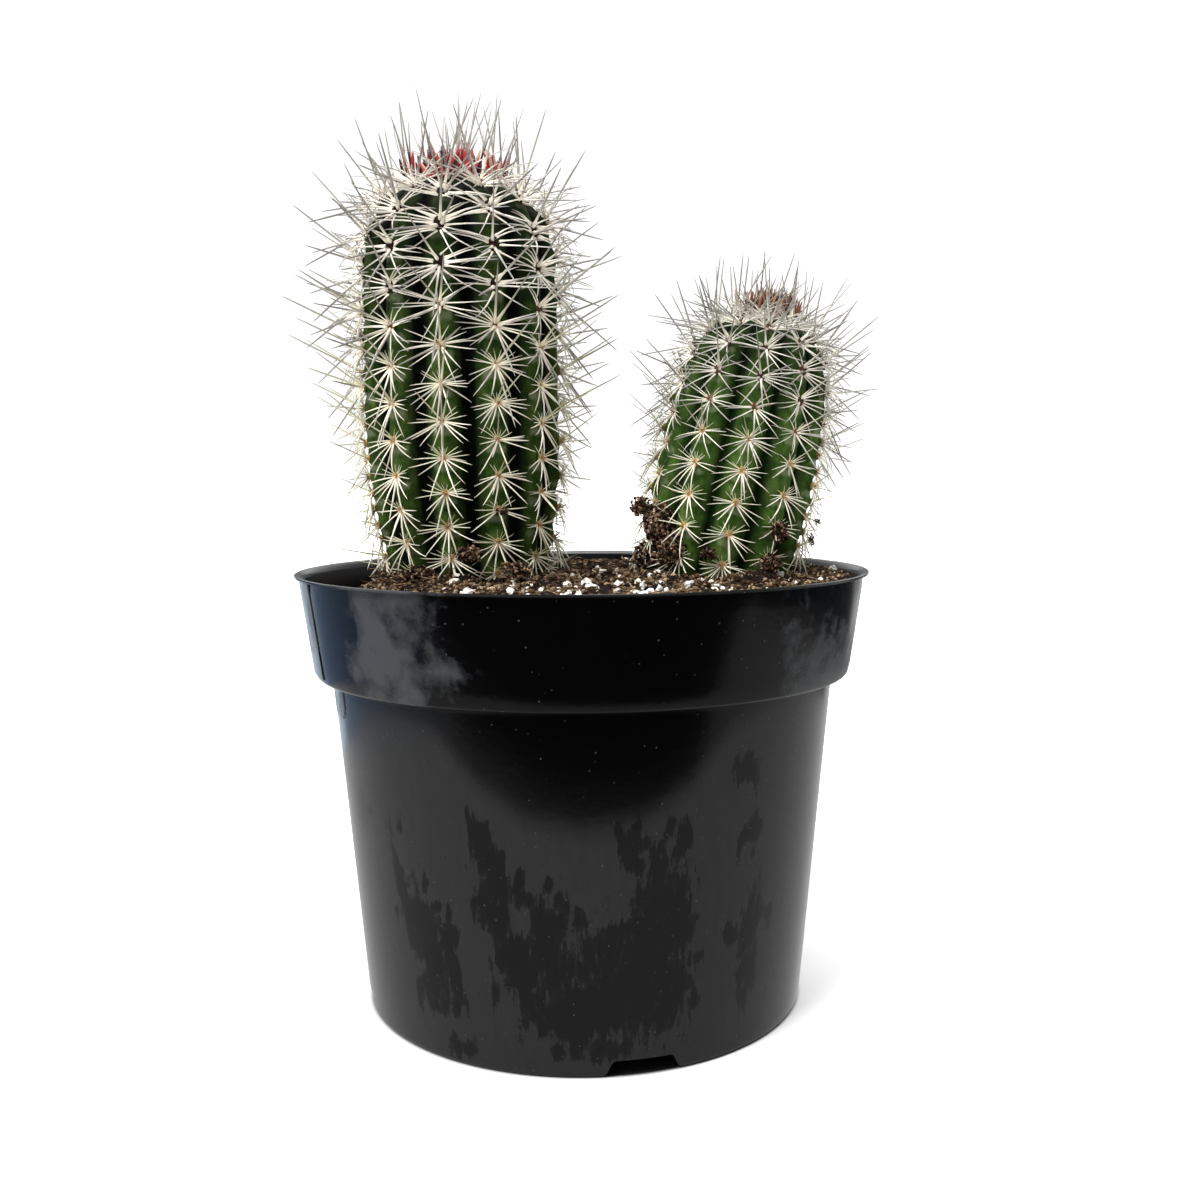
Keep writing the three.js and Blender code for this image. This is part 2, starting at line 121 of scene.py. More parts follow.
def add_piece(name, points, faces, slot=None, replaced=None, values=None, sharp=40):
    """A mesh piece from an array of points in mm and a list of face arrays, riding on the plant's one
    body, or part of the studio where it has no slot. Edges that turn by more than the sharp angle in
    degrees stay crisp."""
    mesh = bpy.data.meshes.new(name)
    sizes = np.concatenate([np.full(len(block), block.shape[1]) for block in faces])
    corners = np.concatenate([block.ravel() for block in faces]).astype(np.int32)
    mesh.vertices.add(len(points))
    mesh.vertices.foreach_set("co", (points * MM).astype(np.float32).ravel())
    mesh.loops.add(len(corners))
    mesh.loops.foreach_set("vertex_index", corners)
    mesh.polygons.add(len(sizes))
    mesh.polygons.foreach_set("loop_start", (np.cumsum(sizes) - sizes).astype(np.int32))
    mesh.update(calc_edges=True)
    mesh.shade_smooth()
    mesh.set_sharp_from_angle(angle=np.radians(sharp))
    add_values(mesh, values or {})
    piece = bpy.data.objects.new(name, mesh)
    bpy.context.scene.collection.objects.link(piece)
    if slot:
        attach(piece, "root")
    else:
        piece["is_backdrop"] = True
    if replaced:
        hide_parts(replaced)
    print(f"{name}: {len(points)} points, {len(sizes)} faces")
    return piece


def grid_faces(rows, columns, closed=True):
    """Quads between each row and the next of a grid whose points are numbered row by row. A closed grid
    also joins its last column to its first."""
    row = np.arange(rows - 1)[:, None] * columns
    column = np.arange(columns if closed else columns - 1)[None, :]
    following = (column + 1) % columns
    quads = [row + column, row + following, row + columns + following, row + columns + column]
    return np.stack(quads, axis=-1).reshape(-1, 4)


def body_faces(rows, columns):
    """A closed grid made a closed body by two poles, numbered after it: triangles join its first row to
    the first pole and its last row to the second."""
    column = np.arange(columns)
    following = (column + 1) % columns
    pole, top = rows * columns, (rows - 1) * columns
    start = np.stack([0 * column + pole, following, column], axis=-1)
    end = np.stack([0 * column + pole + 1, top + column, top + following], axis=-1)
    return [grid_faces(rows, columns), np.concatenate([start, end])]


def copies(faces, count, per):
    """The faces of many copies of a shape that has so many points."""
    start = np.arange(count)[:, None, None] * per
    return [(block[None] + start).reshape(-1, block.shape[1]) for block in faces]


# %% [markdown]
# A few small formulas come back all through the plant: a blend between two values, a smooth step, points
# round an axis, and a direction at some angle between two others. Real surfaces are never quite even,
# either. A lattice of random numbers, smoothly blended between its points, gives a noise that can be
# used at any scale. Added to itself at doubled scales it looks like soil, felt or skin. It is seeded, so
# every run gives the same plant.

# %% Formulas and noise
LATTICE_SIZE = 32
LATTICE = np.random.default_rng(20).random((LATTICE_SIZE,) * 3)


def between(first, second, share):
    """First where the share is 0, second where it is 1, and a straight blend between them."""
    return first + (second - first) * share


def smoothstep(value, low, high):
    """0 below low, 1 above high, and 3t^2 - 2t^3 between them."""
    t = np.clip((value - low) / (high - low), 0, 1)
    return t * t * (3 - 2 * t)


def circle(steps):
    """Evenly spaced turns all the way round."""
    return 2 * np.pi * np.arange(steps) / steps


def round_axis(radius, turn, height):
    """Points at a radius and a height, turned round the axis from the front towards +X."""
    return np.stack(np.broadcast_arrays(radius * np.sin(turn), -radius * np.cos(turn), height), axis=-1)


def turned(angle, first, second):
    """The direction at an angle from first towards second: cos times one and sin times the other."""
    return np.cos(angle)[..., None] * first + np.sin(angle)[..., None] * second


def noise(points, scale):
    """Value noise from -1 to 1: the lattice's numbers at the eight corners round each scaled point,
    blended by 3t^2 - 2t^3 along each axis."""
    scaled = points * scale
    cell = np.floor(scaled).astype(int)
    t = smoothstep(scaled - cell, 0, 1)
    total = np.zeros(scaled.shape[:-1])
    for corner in np.ndindex(2, 2, 2):
        weight = np.prod(np.where(corner, t, 1 - t), axis=-1)
        index = (cell + corner) % LATTICE_SIZE
        total += weight * LATTICE[index[..., 0], index[..., 1], index[..., 2]]
    return 2 * total - 1


def rough(points, scale, octaves=3):
    """Noise added up over some octaves, each at twice the scale and half the height of the last."""
    return sum(noise(points + 7.3 * i, scale * 2**i) / 2**i for i in range(octaves))


# %% [markdown]
# ## The pot
#
# A moulded nursery pot is one thin shell: a foot ring, a wall that widens upwards, a step out to a wide
# band, and a thin lip that turns outwards. It could be spun from an outline with a modifier. Here the
# outline is an array carried round the axis, so that the four drain notches are a formula too: wherever
# a notch is, the foot is lifted to the notch's height.

# %% Pot sizes
RIM_RADIUS, _, POT_HEIGHT = np.array(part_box("pot"))[1] / MM
WALL, FLOOR, FOOT_WIDTH, LIP_DEPTH = 1.2, 4.4, 3.2, 2.4
BASE_RADIUS, WALL_TOP_RADIUS = 62.1, 70.2
BAND_BOTTOM, BAND_BOTTOM_RADIUS, BAND_TOP_RADIUS = 93.0, 74.8, 78.4
LEDGE, LIP_BOTTOM = BAND_BOTTOM + WALL, POT_HEIGHT - LIP_DEPTH
# The lip from outside to inside: how far in from the rim and how far below it each point lies
LIP = np.array([
    (1.6, 0.95), (0.5, 0.85), (0.1, 0.68), (0, 0.4), (0.1, 0.12), (0.35, 0), (0.8, 0),
    (1.2, 0.12), (2, 0.5), (2.6, 1.1), (2.78, 2),
])
NOTCH_TURNS = np.radians(13.3 + 90 * np.arange(4))  # from the front towards +X
NOTCH_WIDTH, NOTCH_TAPER, NOTCH_HEIGHT = 20.7, 3.2, 4.3
print("rim radius and height in mm:", RIM_RADIUS.round(1), POT_HEIGHT.round(1))


# %% Pot outline
def outer_radius(z):
    """The outside of the pot: a straight taper up to the step, and another over it."""
    wall = between(BASE_RADIUS, WALL_TOP_RADIUS, z / BAND_BOTTOM)
    band = between(BAND_BOTTOM_RADIUS, BAND_TOP_RADIUS, (z - BAND_BOTTOM) / (LIP_BOTTOM - BAND_BOTTOM))
    return np.where(z < LEDGE, wall, band)


def arc(centre_r, centre_z, radius, start, end, steps=5):
    """Points of a round corner: the centre plus the radius times (cos, sin) of the turn."""
    turn = np.radians(np.linspace(start, end, steps))
    return np.stack([centre_r + radius * np.cos(turn), centre_z + radius * np.sin(turn)], axis=1)


def straight(start, end, steps):
    """Points spaced evenly from one end of a line to the other, without the ends."""
    return between(np.array(start), np.array(end), np.linspace(0, 1, steps + 2)[1:-1, None])


def pot_outline():
    """The cross-section as (radius, z): out under the floor, up the outside, over the lip and down the
    inside to the floor."""
    foot, inner_band = BASE_RADIUS - FOOT_WIDTH, BAND_BOTTOM_RADIUS - WALL
    inner_wall, inner_base, inner_floor = WALL_TOP_RADIUS - WALL, BASE_RADIUS - WALL, FLOOR + WALL
    return np.concatenate([
        straight((0, FLOOR), (foot, FLOOR), 4),
        arc(foot + 0.3, 0.3, 0.3, 180, 270, 3),
        arc(BASE_RADIUS - 1.2, 1.2, 1.2, -90, 0),
        straight((BASE_RADIUS, 1.2), (WALL_TOP_RADIUS, BAND_BOTTOM - 0.5), 66),
        arc(WALL_TOP_RADIUS + 0.5, BAND_BOTTOM - 0.5, 0.5, 180, 90, 4),
        arc(BAND_BOTTOM_RADIUS - 1.3, BAND_BOTTOM + 1.3, 1.3, -90, -8, 7),
        straight((BAND_BOTTOM_RADIUS + 0.2, BAND_BOTTOM + 1.4), (BAND_TOP_RADIUS, LIP_BOTTOM), 14),
        np.array([RIM_RADIUS, POT_HEIGHT]) - LIP,
        straight((BAND_TOP_RADIUS - WALL, LIP_BOTTOM), (inner_band, LEDGE), 6),
        arc(inner_band - 0.8, LEDGE + 0.8, 0.8, 0, -90, 3),
        arc(inner_wall + 0.5, LEDGE - 0.5, 0.5, 90, 180, 3),
        straight((inner_wall, LEDGE - 1), (inner_base, inner_floor), 12),
        straight((inner_base, inner_floor), (0, inner_floor), 4),
    ])


outline = pot_outline()
print("the pot's outline has", len(outline), "points")


# %% Pot shell
def notch_lift(turn):
    """How far the foot is lifted: 0 away from the notches, and inside one its height, reached over the
    taper along a smooth slope."""
    off = np.abs((turn[:, None] - NOTCH_TURNS + np.pi) % (2 * np.pi) - np.pi).min(axis=1)
    return NOTCH_HEIGHT * smoothstep(NOTCH_WIDTH / 2 - off * BASE_RADIUS, 0, NOTCH_TAPER)


def pot_turns(even_steps=360):
    """Turns round the pot: even ones, and closer ones on the sloping sides of the notches."""
    slope = (NOTCH_WIDTH / 2 - np.linspace(-0.3, NOTCH_TAPER + 0.3, 9)) / BASE_RADIUS
    sides = NOTCH_TURNS[:, None, None] + slope[None, :, None] * np.array([-1, 1])
    return np.unique(np.round(np.concatenate([circle(even_steps), sides.ravel() % (2 * np.pi)]), 5))


turns = pot_turns()
points = round_axis(outline[:, :1], turns, np.maximum(outline[:, 1:], notch_lift(turns)))
points = np.concatenate([points.reshape(-1, 3), [[0, 0, FLOOR], [0, 0, FLOOR + WALL]]])
pot = add_piece("pot_shell", points, body_faces(len(outline), len(turns)), "pot", "pot", sharp=35)

# %% [markdown]
# Four slots in the floor let the water out into the notches. They go right through, which a lifted
# surface can't do, so they are cut with a Boolean modifier whose result is kept in the mesh.

# %% Drain slots
SLOT_SIZE, SLOT_INSET = np.array([7.0, 9.0, 4.0]), 6.0  # width, length and depth, and how far in
BOX_FACES = np.array([[0, 1, 3, 2], [4, 6, 7, 5], [0, 4, 5, 1], [2, 3, 7, 6], [0, 2, 6, 4], [1, 5, 7, 3]])
slot_middle = [0, -(BASE_RADIUS - SLOT_INSET - SLOT_SIZE[1] / 2), FLOOR + WALL / 2]
x, y, z = ((np.array(list(np.ndindex(2, 2, 2))) - 0.5) * SLOT_SIZE + slot_middle).T
c, s = np.cos(NOTCH_TURNS)[:, None], np.sin(NOTCH_TURNS)[:, None]
corners = np.stack([x * c - y * s, x * s + y * c, z + 0 * c], axis=-1).reshape(-1, 3)
cutter = bpy.data.objects.new("slot_cutter", bpy.data.meshes.new("slot_cutter"))
cutter.data.from_pydata((corners * MM).tolist(), [], copies([BOX_FACES], len(c), 8)[0].tolist())
bpy.context.scene.collection.objects.link(cutter)
cut = pot.modifiers.new("slots", "BOOLEAN")
cut.operation, cut.object, cut.solver = "DIFFERENCE", cutter, "EXACT"
cut_mesh = bpy.data.meshes.new_from_object(pot.evaluated_get(bpy.context.evaluated_depsgraph_get()))
pot.modifiers.clear()
pot.data = cut_mesh
bpy.data.objects.remove(cutter)
print("pot shell after cutting:", len(pot.data.polygons), "faces")

# %% [markdown]
# Watering has left its marks. The wall is hazy with dried water, highest at the sides, and drips have
# kept long patches clean and dark. The band is smeared at its sides. Each mark is a smooth value on the
# pot's points. Its frayed edge comes later, in the material.

# %% Water marks
# Each patch: turn from the front in degrees, height, half width, half height, and sideways lean
FRONT_PATCHES = np.array([
    (17, 40, 7.3, 13.7, 0), (16.3, 22.1, 8.5, 11.5, 0), (1.8, 18.5, 12.3, 7.6, 0),
    (-4.5, 15.1, 5.2, 5.1, 0), (6.6, 35.7, 8.8, 5, 0.2), (21, 61.3, 2.1, 4.4, 0),
    (9.1, 59.3, 2.2, 6, 0), (15.5, 53.9, 2.6, 4.4, 0), (-21.4, 58.5, 2.1, 9, -0.3),
    (-18.2, 51.3, 2.6, 9, -0.2), (-19.9, 42.4, 4.3, 6, -0.2), (-16.1, 30.2, 4.2, 8.9, -0.1),
    (-11.6, 18.9, 3.7, 3.8, 0), (-8.2, 37.8, 3, 9.5, -0.25), (-7.3, 30.4, 4.1, 7, -0.2),
    (-44.1, 42.1, 1.9, 15.8, -0.2), (-36.6, 29.9, 4.9, 13.5, -0.25), (-37.2, 18.3, 3.3, 6, -0.2),
    (-30.8, 27.1, 1.9, 9.6, -0.3), (39.8, 34.5, 3.9, 8.8, 0.15), (41.5, 20.2, 2.4, 5.6, 0),
    (39.1, 60, 1.8, 3.8, 0), (37, 75.1, 1.7, 2.2, 0), (-29.5, 4.5, 2.5, 1.6, 0),
    (4.7, 7.8, 4.7, 2.2, 0), (9, 25, 11, 13, 0),
])
OTHER_PATCHES = (62, 8, 1.6, 4.0, -0.25), (298, 62, 6.0, 14.0, 0.25)  # lowest and highest values elsewhere
OTHER_COUNT, DRIPS_EACH = 34, 7
HAZE_TOP = np.array([(0, 64), (12, 66.5), (22, 75), (32, 88), (45, 93), (180, 90)])


def water_patches():
    """The front patches, others like them drawn over the sides and the back, and small drips scattered
    over and round each, out to about twice its size."""
    others = np.random.default_rng(61).uniform(*OTHER_PATCHES, (OTHER_COUNT, 5))
    patches = np.concatenate([FRONT_PATCHES, others])
    rng = np.random.default_rng(62)
    middle = np.repeat(patches, DRIPS_EACH, axis=0)
    spread = rng.normal(0, 1.0, (len(middle), 2)) * [0.95, 0.75]
    turn = middle[:, 0] + np.degrees(spread[:, 0] * middle[:, 2] / BASE_RADIUS)
    height = np.clip(middle[:, 1] + spread[:, 1] * middle[:, 3], 5, 84)
    wide, tall = rng.uniform(0.7, 1.7, len(middle)), rng.uniform(1.2, 4.0, len(middle))
    return np.concatenate([patches, np.stack([turn, height, wide, tall, 0 * turn], axis=1)])


def mark_water(piece, smear_all=0.0):
    """A patch is 1.25 exp(-0.8 d^2), at most 1, where d is the distance from its middle in half widths
    and half heights, and the highest patch counts. The haze fades out over a few mm at its top edge. The
    smears are smooth steps of the turn, weaker near the rim on the right."""
    points = np.empty(len(piece.data.vertices) * 3, np.float32)
    piece.data.vertices.foreach_get("co", points)
    x, y, z = points.reshape(-1, 3).T / MM
    turn = np.degrees(np.arctan2(x, -y))
    wet = np.zeros(len(x))
    for at, height, wide, tall, lean in water_patches():
        off = np.radians((turn - at + 180) % 360 - 180) * outer_radius(height)
        distance = ((off - lean * (z - height)) / wide) ** 2 + ((z - height) / tall) ** 2
        wet = np.maximum(wet, np.minimum(1, 1.25 * np.exp(-0.8 * distance)))
    haze = smoothstep(np.interp(np.abs(turn), *HAZE_TOP.T) - z, -5, 5) * (z < BAND_BOTTOM)
    inside = (np.hypot(x, y) < outer_radius(z) - 0.8) & (z < POT_HEIGHT - 1.6)
    left = smoothstep(-turn, 12, 44) * (1 - smoothstep(-turn, 37, 54))
    right = smoothstep(turn, 34, 46) * (1 - smoothstep(turn, 76, 86))
    right = right * (0.62 - 0.34 * smoothstep(z, 102, 114))
    smear = (left + right) * (z > BAND_BOTTOM) * ~inside + smear_all
    add_values(piece.data, {"wet": wet, "haze": haze, "smear": smear, "inside": inside})
    print(f"water marks on {piece.name}: wettest {wet.max():.2f}, haziest {haze.max():.2f}")


mark_water(pot)

# %% [markdown]
# On the left the mould has a plain raised panel. It follows the band, and a short tab of it shows under
# the step. Each is a thin plate bent round the pot: flat inside its outline, and falling away over a
# narrow edge until it runs into the wall.

# %% Raised panel
PANEL_TURN, PANEL_WIDTH, PANEL_THICKNESS = np.radians(-79.5), np.radians(32), 0.22
PANEL_BOTTOM, PANEL_CORNER, PANEL_EDGE = 83.3, 4.0, 0.2


def panel_plate(low, high, corner):
    """Points and faces of a closed plate on the pot's outside between two heights. Its height off the
    wall is its thickness, less what the distance to a rounded outline takes away over the edge's width.
    The back lies inside the wall, and a strip joins the two all round."""
    edge = np.array([0, 0.25, 0.5, 0.75, 1.0]) * PANEL_EDGE
    half = PANEL_WIDTH * BAND_BOTTOM_RADIUS / 2
    across = np.concatenate([edge - half, np.linspace(1 - half, half - 1, 60), half - edge[::-1]])
    along = np.concatenate([low + edge, np.linspace(low + 1, high, 24)])
    s, z = np.meshgrid(across, along)
    outside = np.stack([np.abs(s) - (half - corner), (low + corner) - z], axis=-1)
    corner_distance = np.linalg.norm(np.maximum(outside, 0), axis=-1) + np.minimum(outside.max(-1), 0)
    inside = np.clip((corner - corner_distance) / PANEL_EDGE, 0, 1)
    lift = PANEL_THICKNESS * (2 * inside - inside**2) - 0.25 * (inside == 0)
    turn = PANEL_TURN + s / BAND_BOTTOM_RADIUS
    sheets = [round_axis(outer_radius(z) + off, turn, z).reshape(-1, 3) for off in (lift, -0.6)]
    index = np.arange(s.size).reshape(s.shape)
    rim = np.concatenate([index[0], index[1:, -1], index[-1, -2::-1], index[-2:0:-1, 0]])
    front = grid_faces(*s.shape, closed=False)
    side = np.stack([np.roll(rim, -1), rim, rim + s.size, np.roll(rim, -1) + s.size], axis=-1)
    return np.concatenate(sheets), np.concatenate([front, front[:, ::-1] + s.size, side])


band, band_faces = panel_plate(BAND_BOTTOM + 1.5, LIP_BOTTOM + 1.2, 0.6)
tab, tab_faces = panel_plate(PANEL_BOTTOM, BAND_BOTTOM + 0.5, PANEL_CORNER)
panel_faces = [band_faces, tab_faces + len(band)]
panel = add_piece("pot_panel", np.concatenate([band, tab]), panel_faces, "pot", sharp=50)
mark_water(panel, smear_all=0.42)

# %% [markdown]
# ## The two stems
#
# A column cactus is a ribbed column. Seen from above its outline is a ring of ribs, and along each rib
# sit the areoles, the felted cushions that carry the spines. The areoles are born at the crown, so they
# crowd there and spread as the stem grows. One function gives a point of the skin for any row of areoles,
# counted down from the crown, and any way round, counted in ribs. Both may be fractions, so the same
# function serves for the skin and for the areoles.

# %% Stem sizes
# Each stem: where it stands, how it leans and bows, its ribs, its rows of areoles, its spines, long
# spines that hang away from where they would grow (their root and reach), and its profile as height
# over the mix and radius, from the crown down
SOIL = 119.0
TALL = SimpleNamespace(
    name="tall_cactus", base=np.array([-34.2, 7.0, SOIL]), lean=0.0, bow=1.5, bow_height=60.0,
    ribs=12, turn=np.radians(-5.5), depth=0.135, rows=13, pitch=12.0, loss=0.14, first=0.36,
    coarse=1.0, young_long=22.0, fresh_row=2.5, long_from=0.12, spine_size=1.0,
    hangers=[((-42.7, -24.0, 186.0), (1.5, -4.0, -31.0)), ((-59.0, -2.0, 128.0), (-17.0, -4.0, 1.0)),
             ((-58.0, -8.0, 124.0), (-15.0, -6.0, 3.0)), ((-11.0, -6.0, 128.0), (15.0, -5.0, 5.0))],
    profile=[(110.8, 0.5), (110.5, 6), (108.8, 13), (105.5, 19), (100.5, 23.5), (92.5, 26.5), (82, 27.5),
             (60, 27.7), (36, 27.5), (20, 26.2), (9, 24.2), (0, 22), (-12, 18.5), (-22, 13)],
)
SHORT = SimpleNamespace(
    name="short_cactus", base=np.array([38.3, 4.0, SOIL]), lean=np.radians(11.5), bow=0.0, bow_height=1.0,
    ribs=11, turn=np.radians(-3), depth=0.12, rows=11, pitch=8.8, loss=0.004, first=0.96,
    coarse=0.6, young_long=12.0, fresh_row=1.85, long_from=0.3, spine_size=0.86, hangers=[],
    profile=[(73.3, 0.5), (73, 5), (70.8, 11.5), (66.8, 16.3), (60.8, 19.3), (52, 21.2), (40, 22.2),
             (24, 22.5), (10, 21.6), (0, 20), (-10, 17.5), (-19, 12)],
)
STEMS = [TALL, SHORT]
CROWDED_ROWS = 1.6


def measure_meridian(stem):
    """Length from the crown, radius and height along a smooth curve through the profile's points. Each
    span is a Catmull-Rom cubic of the four points round it."""
    points = np.array(stem.profile, float)
    points = np.concatenate([2 * points[:1] - points[1:2], points, 2 * points[-1:] - points[-2:-1]])
    t = np.linspace(0, 1, 60, endpoint=False)[:, None, None]
    a, b, c, d = points[:-3], points[1:-2], points[2:-1], points[3:]
    curve = 0.5 * (2 * b + (c - a) * t + (2 * a - 5 * b + 4 * c - d) * t**2 + (3 * b - 3 * c + d - a) * t**3)
    curve = curve.transpose(1, 0, 2).reshape(-1, 2)
    length = np.append(0, np.cumsum(np.linalg.norm(np.diff(curve, axis=0), axis=1)))
    return length, curve[:, 1], curve[:, 0]


for stem in STEMS:
    stem.length, stem.radius, stem.height = measure_meridian(stem)
    print(stem.name, "is", round(stem.length[-1]), "mm from crown to foot along its skin")


# %% Stem surface
def row_distance(stem, row):
    """How far down the skin a row lies: crowded at the crown, then at the pitch, less a little loss."""
    opened = row + CROWDED_ROWS * (np.exp(-row / CROWDED_ROWS) - 1)
    return stem.pitch * opened - stem.loss * opened**2


def row_height(stem, row):
    """How high over the mix a row lies."""
    return np.interp(row_distance(stem, row), stem.length, stem.height)


def rib_phase(stem, way):
    """Which part of a row the areoles of the nearest rib lie at: every other rib is half a row lower."""
    return (stem.first + 0.5 * (np.round(way) % stem.ribs % 2)) % 1


def from_areole(stem, row, way):
    """Where a point lies between areoles in its rib: -0.5 over one, 0 on it and 0.5 under it."""
    return (row - rib_phase(stem, way) + 0.5) % 1 - 0.5


def place(stem, local):
    """Leans a stem's own points over and stands them in the pot: a turn about Y, then the base."""
    c, s = np.cos(stem.lean), np.sin(stem.lean)
    x, y, z = local[..., 0], local[..., 1], local[..., 2]
    return np.stack([c * x + s * z, y, c * z - s * x], axis=-1) + stem.base


def skin_point(stem, row, way):
    """A point of the skin in the stem's own frame. The meridian's radius is cut into ribs with rounded
    crests and narrow valleys, and each areole sits on a swelling."""
    radius = np.interp(row_distance(stem, row), stem.length, stem.radius)
    height = row_height(stem, row)
    off = np.abs(way - np.round(way)) * 2  # 0 on a crest, 1 in a valley
    formed = smoothstep(radius, 3, 17) * (0.25 + 0.75 * smoothstep(height, -4, 6))
    valley = smoothstep(off, 0.1, 1.0) ** 1.2 * 0.75 + smoothstep(off, 0.72, 1.0) * 0.45
    swelling = np.exp(-((from_areole(stem, row, way) / 0.3) ** 2) - (off / 0.55) ** 2)
    reach = radius * (1 - stem.depth * valley * (0.3 + 0.7 * formed)) + formed * (0.9 * swelling - 0.45)
    bow = stem.bow * np.clip(1 - height / stem.bow_height, 0, 1) ** 2
    return round_axis(reach, stem.turn + 2 * np.pi * way / stem.ribs, height) + bow[..., None] * [1, 0, 0]


# %% Stem skins
COLUMNS_PER_RIB, ROWS_PER_AREOLE = 24, 17


def add_stem(stem):
    """The whole skin as a closed grid from crown to foot, with fine wrinkles that fade at the crown. Its
    attributes say how deep in a valley each point lies, which sets the painted shade there, how near the middle
    of the patch under an areole, by exp(-d^2), which sets the bloom and painted sheen, and how far down the
    stem it lies: 0 at the crown and 1 at the foot, which sets the painted shade near the crown."""
    top, foot = stem.profile[0][0], stem.profile[-1][0]
    rows = np.linspace(1, 20, 4000)
    last = rows[np.argmax(row_height(stem, rows) <= foot + 0.2)]
    row = np.concatenate([[0.3, 0.6], np.arange(0.8, last, 1 / ROWS_PER_AREOLE), [last]])[:, None]
    way = np.arange(stem.ribs * COLUMNS_PER_RIB, 0, -1)[None, :] / COLUMNS_PER_RIB
    points = skin_point(stem, row, way)
    wrinkle = 0.26 * rough(points, 0.3) + 0.06 * noise(points * [1, 1, 0.35], 2.2)
    points = points + unit(points * [1, 1, 0]) * (wrinkle * smoothstep(row, 1, 3))[..., None]
    ends = [[0, 0, top], [stem.bow, 0, foot]]
    valley = np.abs(way - np.round(way)) * 2 + 0 * row
    under = np.exp(-(((from_areole(stem, row, way) - 0.26) / 0.14) ** 2))
    under = under * (1 - smoothstep(valley, 0.25, 0.6))
    values = {
        "valley": np.append(valley, [1, 1]),
        "under": np.append(under, [0, 0]),
        "age": np.append(row / stem.rows + 0 * way, [0, 1]),
    }
    points = place(stem, np.concatenate([points.reshape(-1, 3), ends]))
    add_piece(stem.name + "_stem", points, body_faces(*valley.shape), stem.name, stem.name, values, 80)


for stem in STEMS:
    add_stem(stem)

# %% [markdown]
# ## Spines
#
# A spine is a stiff tapered needle with a slightly swollen foot. There are thousands, so each has only a
# few dozen faces, and all of them are worked out at once: the middle line of every spine as one array,
# and then a ring of points round each step of it.

# %% Needles
# At each step along a needle: how far along it is, the radius, and how much of the foot's swelling it has
NEEDLE_STEPS = np.array([0.0, 0.05, 0.12, 0.42, 0.74, 0.93])
NEEDLE_TAPER = np.array([0.9, 1.0, 0.99, 0.92, 0.74, 0.4])
NEEDLE_FOOT = np.array([1, 0.85, 0.15, 0, 0, 0])


def add_needles(name, slot, rng, roots, tips, bends, radii, sides=5, feet=1.25, sharp=60, **each):
    """A piece made of many needles. The middle line of each runs from root to tip and bows sideways by
    4t(1 - t) times the bend. The radius shrinks along it, from a foot that is swollen by its own factor
    to the tip. Its points carry the needle's own values, a random shade, how far along the needle they
    lie, and their reach from its root in mm."""
    t = NEEDLE_STEPS
    line = roots[:, None] + t[:, None] * (tips - roots)[:, None]
    line = line + (4 * t * (1 - t))[:, None] * bends[:, None]
    swell = 1 + (np.broadcast_to(feet, radii.shape)[:, None] - 1) * NEEDLE_FOOT
    widths = radii[:, None] * NEEDLE_TAPER * swell
    along = unit(tips - roots)
    helper = np.where(np.abs(along[:, 2:]) > 0.9, [[1.0, 0, 0]], [[0, 0, 1.0]])
    side = unit(np.cross(along, helper))
    around = turned(circle(sides), side[:, None], np.cross(along, side)[:, None])
    rings = line[:, :, None] + widths[:, :, None, None] * around[:, None]
    points = np.concatenate([rings.reshape(len(roots), -1, 3), roots[:, None], tips[:, None]], axis=1)
    count, per = points.shape[:2]
    values = {key: np.repeat(column, per) for key, column in (*each.items(), ("shade", rng.random(count)))}
    values["along"] = np.tile(np.append(np.repeat(t, sides), [0.0, 1.0]), count)
    values["reach"] = values["along"] * np.repeat(np.linalg.norm(tips - roots, axis=1), per)
    faces = copies(body_faces(len(t), sides), count, per)
    add_piece(name, points.reshape(-1, 3), faces, slot, values=values, sharp=sharp)


# %% [markdown]
# Every areole carries a fan of radial spines, most of them spread sideways and downwards, and a few
# longer central ones that stand out. Near the crown they are longer, greyer and steeper, and the newest
# at the very top are upright and still red or brown.

# %% Areoles
def areoles(stem, top_row=0.35):
    """Where the areoles are, and which ways are up the rib, across it and out of the skin. Rows run
    from the crown to the mix on each rib, and each rib has its own phase."""
    rib = np.arange(stem.ribs)[:, None]
    row = np.arange(stem.rows + 1) + rib_phase(stem, rib)
    row, way = row.ravel(), (rib + 0 * row).ravel()
    height = row_height(stem, row)
    keep = (row > top_row) & (height > 1.5)
    row, way, share = row[keep], way[keep], height[keep] / stem.profile[0][0]
    up = unit(skin_point(stem, row - 0.2, way) - skin_point(stem, row + 0.2, way))
    turn = stem.turn + 2 * np.pi * way / stem.ribs
    across = np.stack([np.cos(turn), np.sin(turn), 0 * turn], axis=1)
    at = skin_point(stem, row, way)
    return SimpleNamespace(at=at, up=up, across=across, out=np.cross(across, up), row=row, share=share)


for stem in STEMS:
    print(stem.name, "has", len(areoles(stem).row), "areoles")

# %% Spine sizes
# Turn from straight up the rib in degrees, low on the stem and near its crown, where the fan closes in
# on the sides, and length in mm low on the stem and near its crown
FAN = np.array([
    (14, 64, 3, 7), (34, 75, 3.8, 10.5), (54, 81, 5, 14), (69, 86, 6.2, 15.5), (82, 90, 7.4, 16.6),
    (94, 94, 8.4, 17), (107, 99, 9.2, 16.4), (122, 106, 10, 15), (141, 118, 10.5, 13),
    (164, 146, 10.5, 10.5),
])
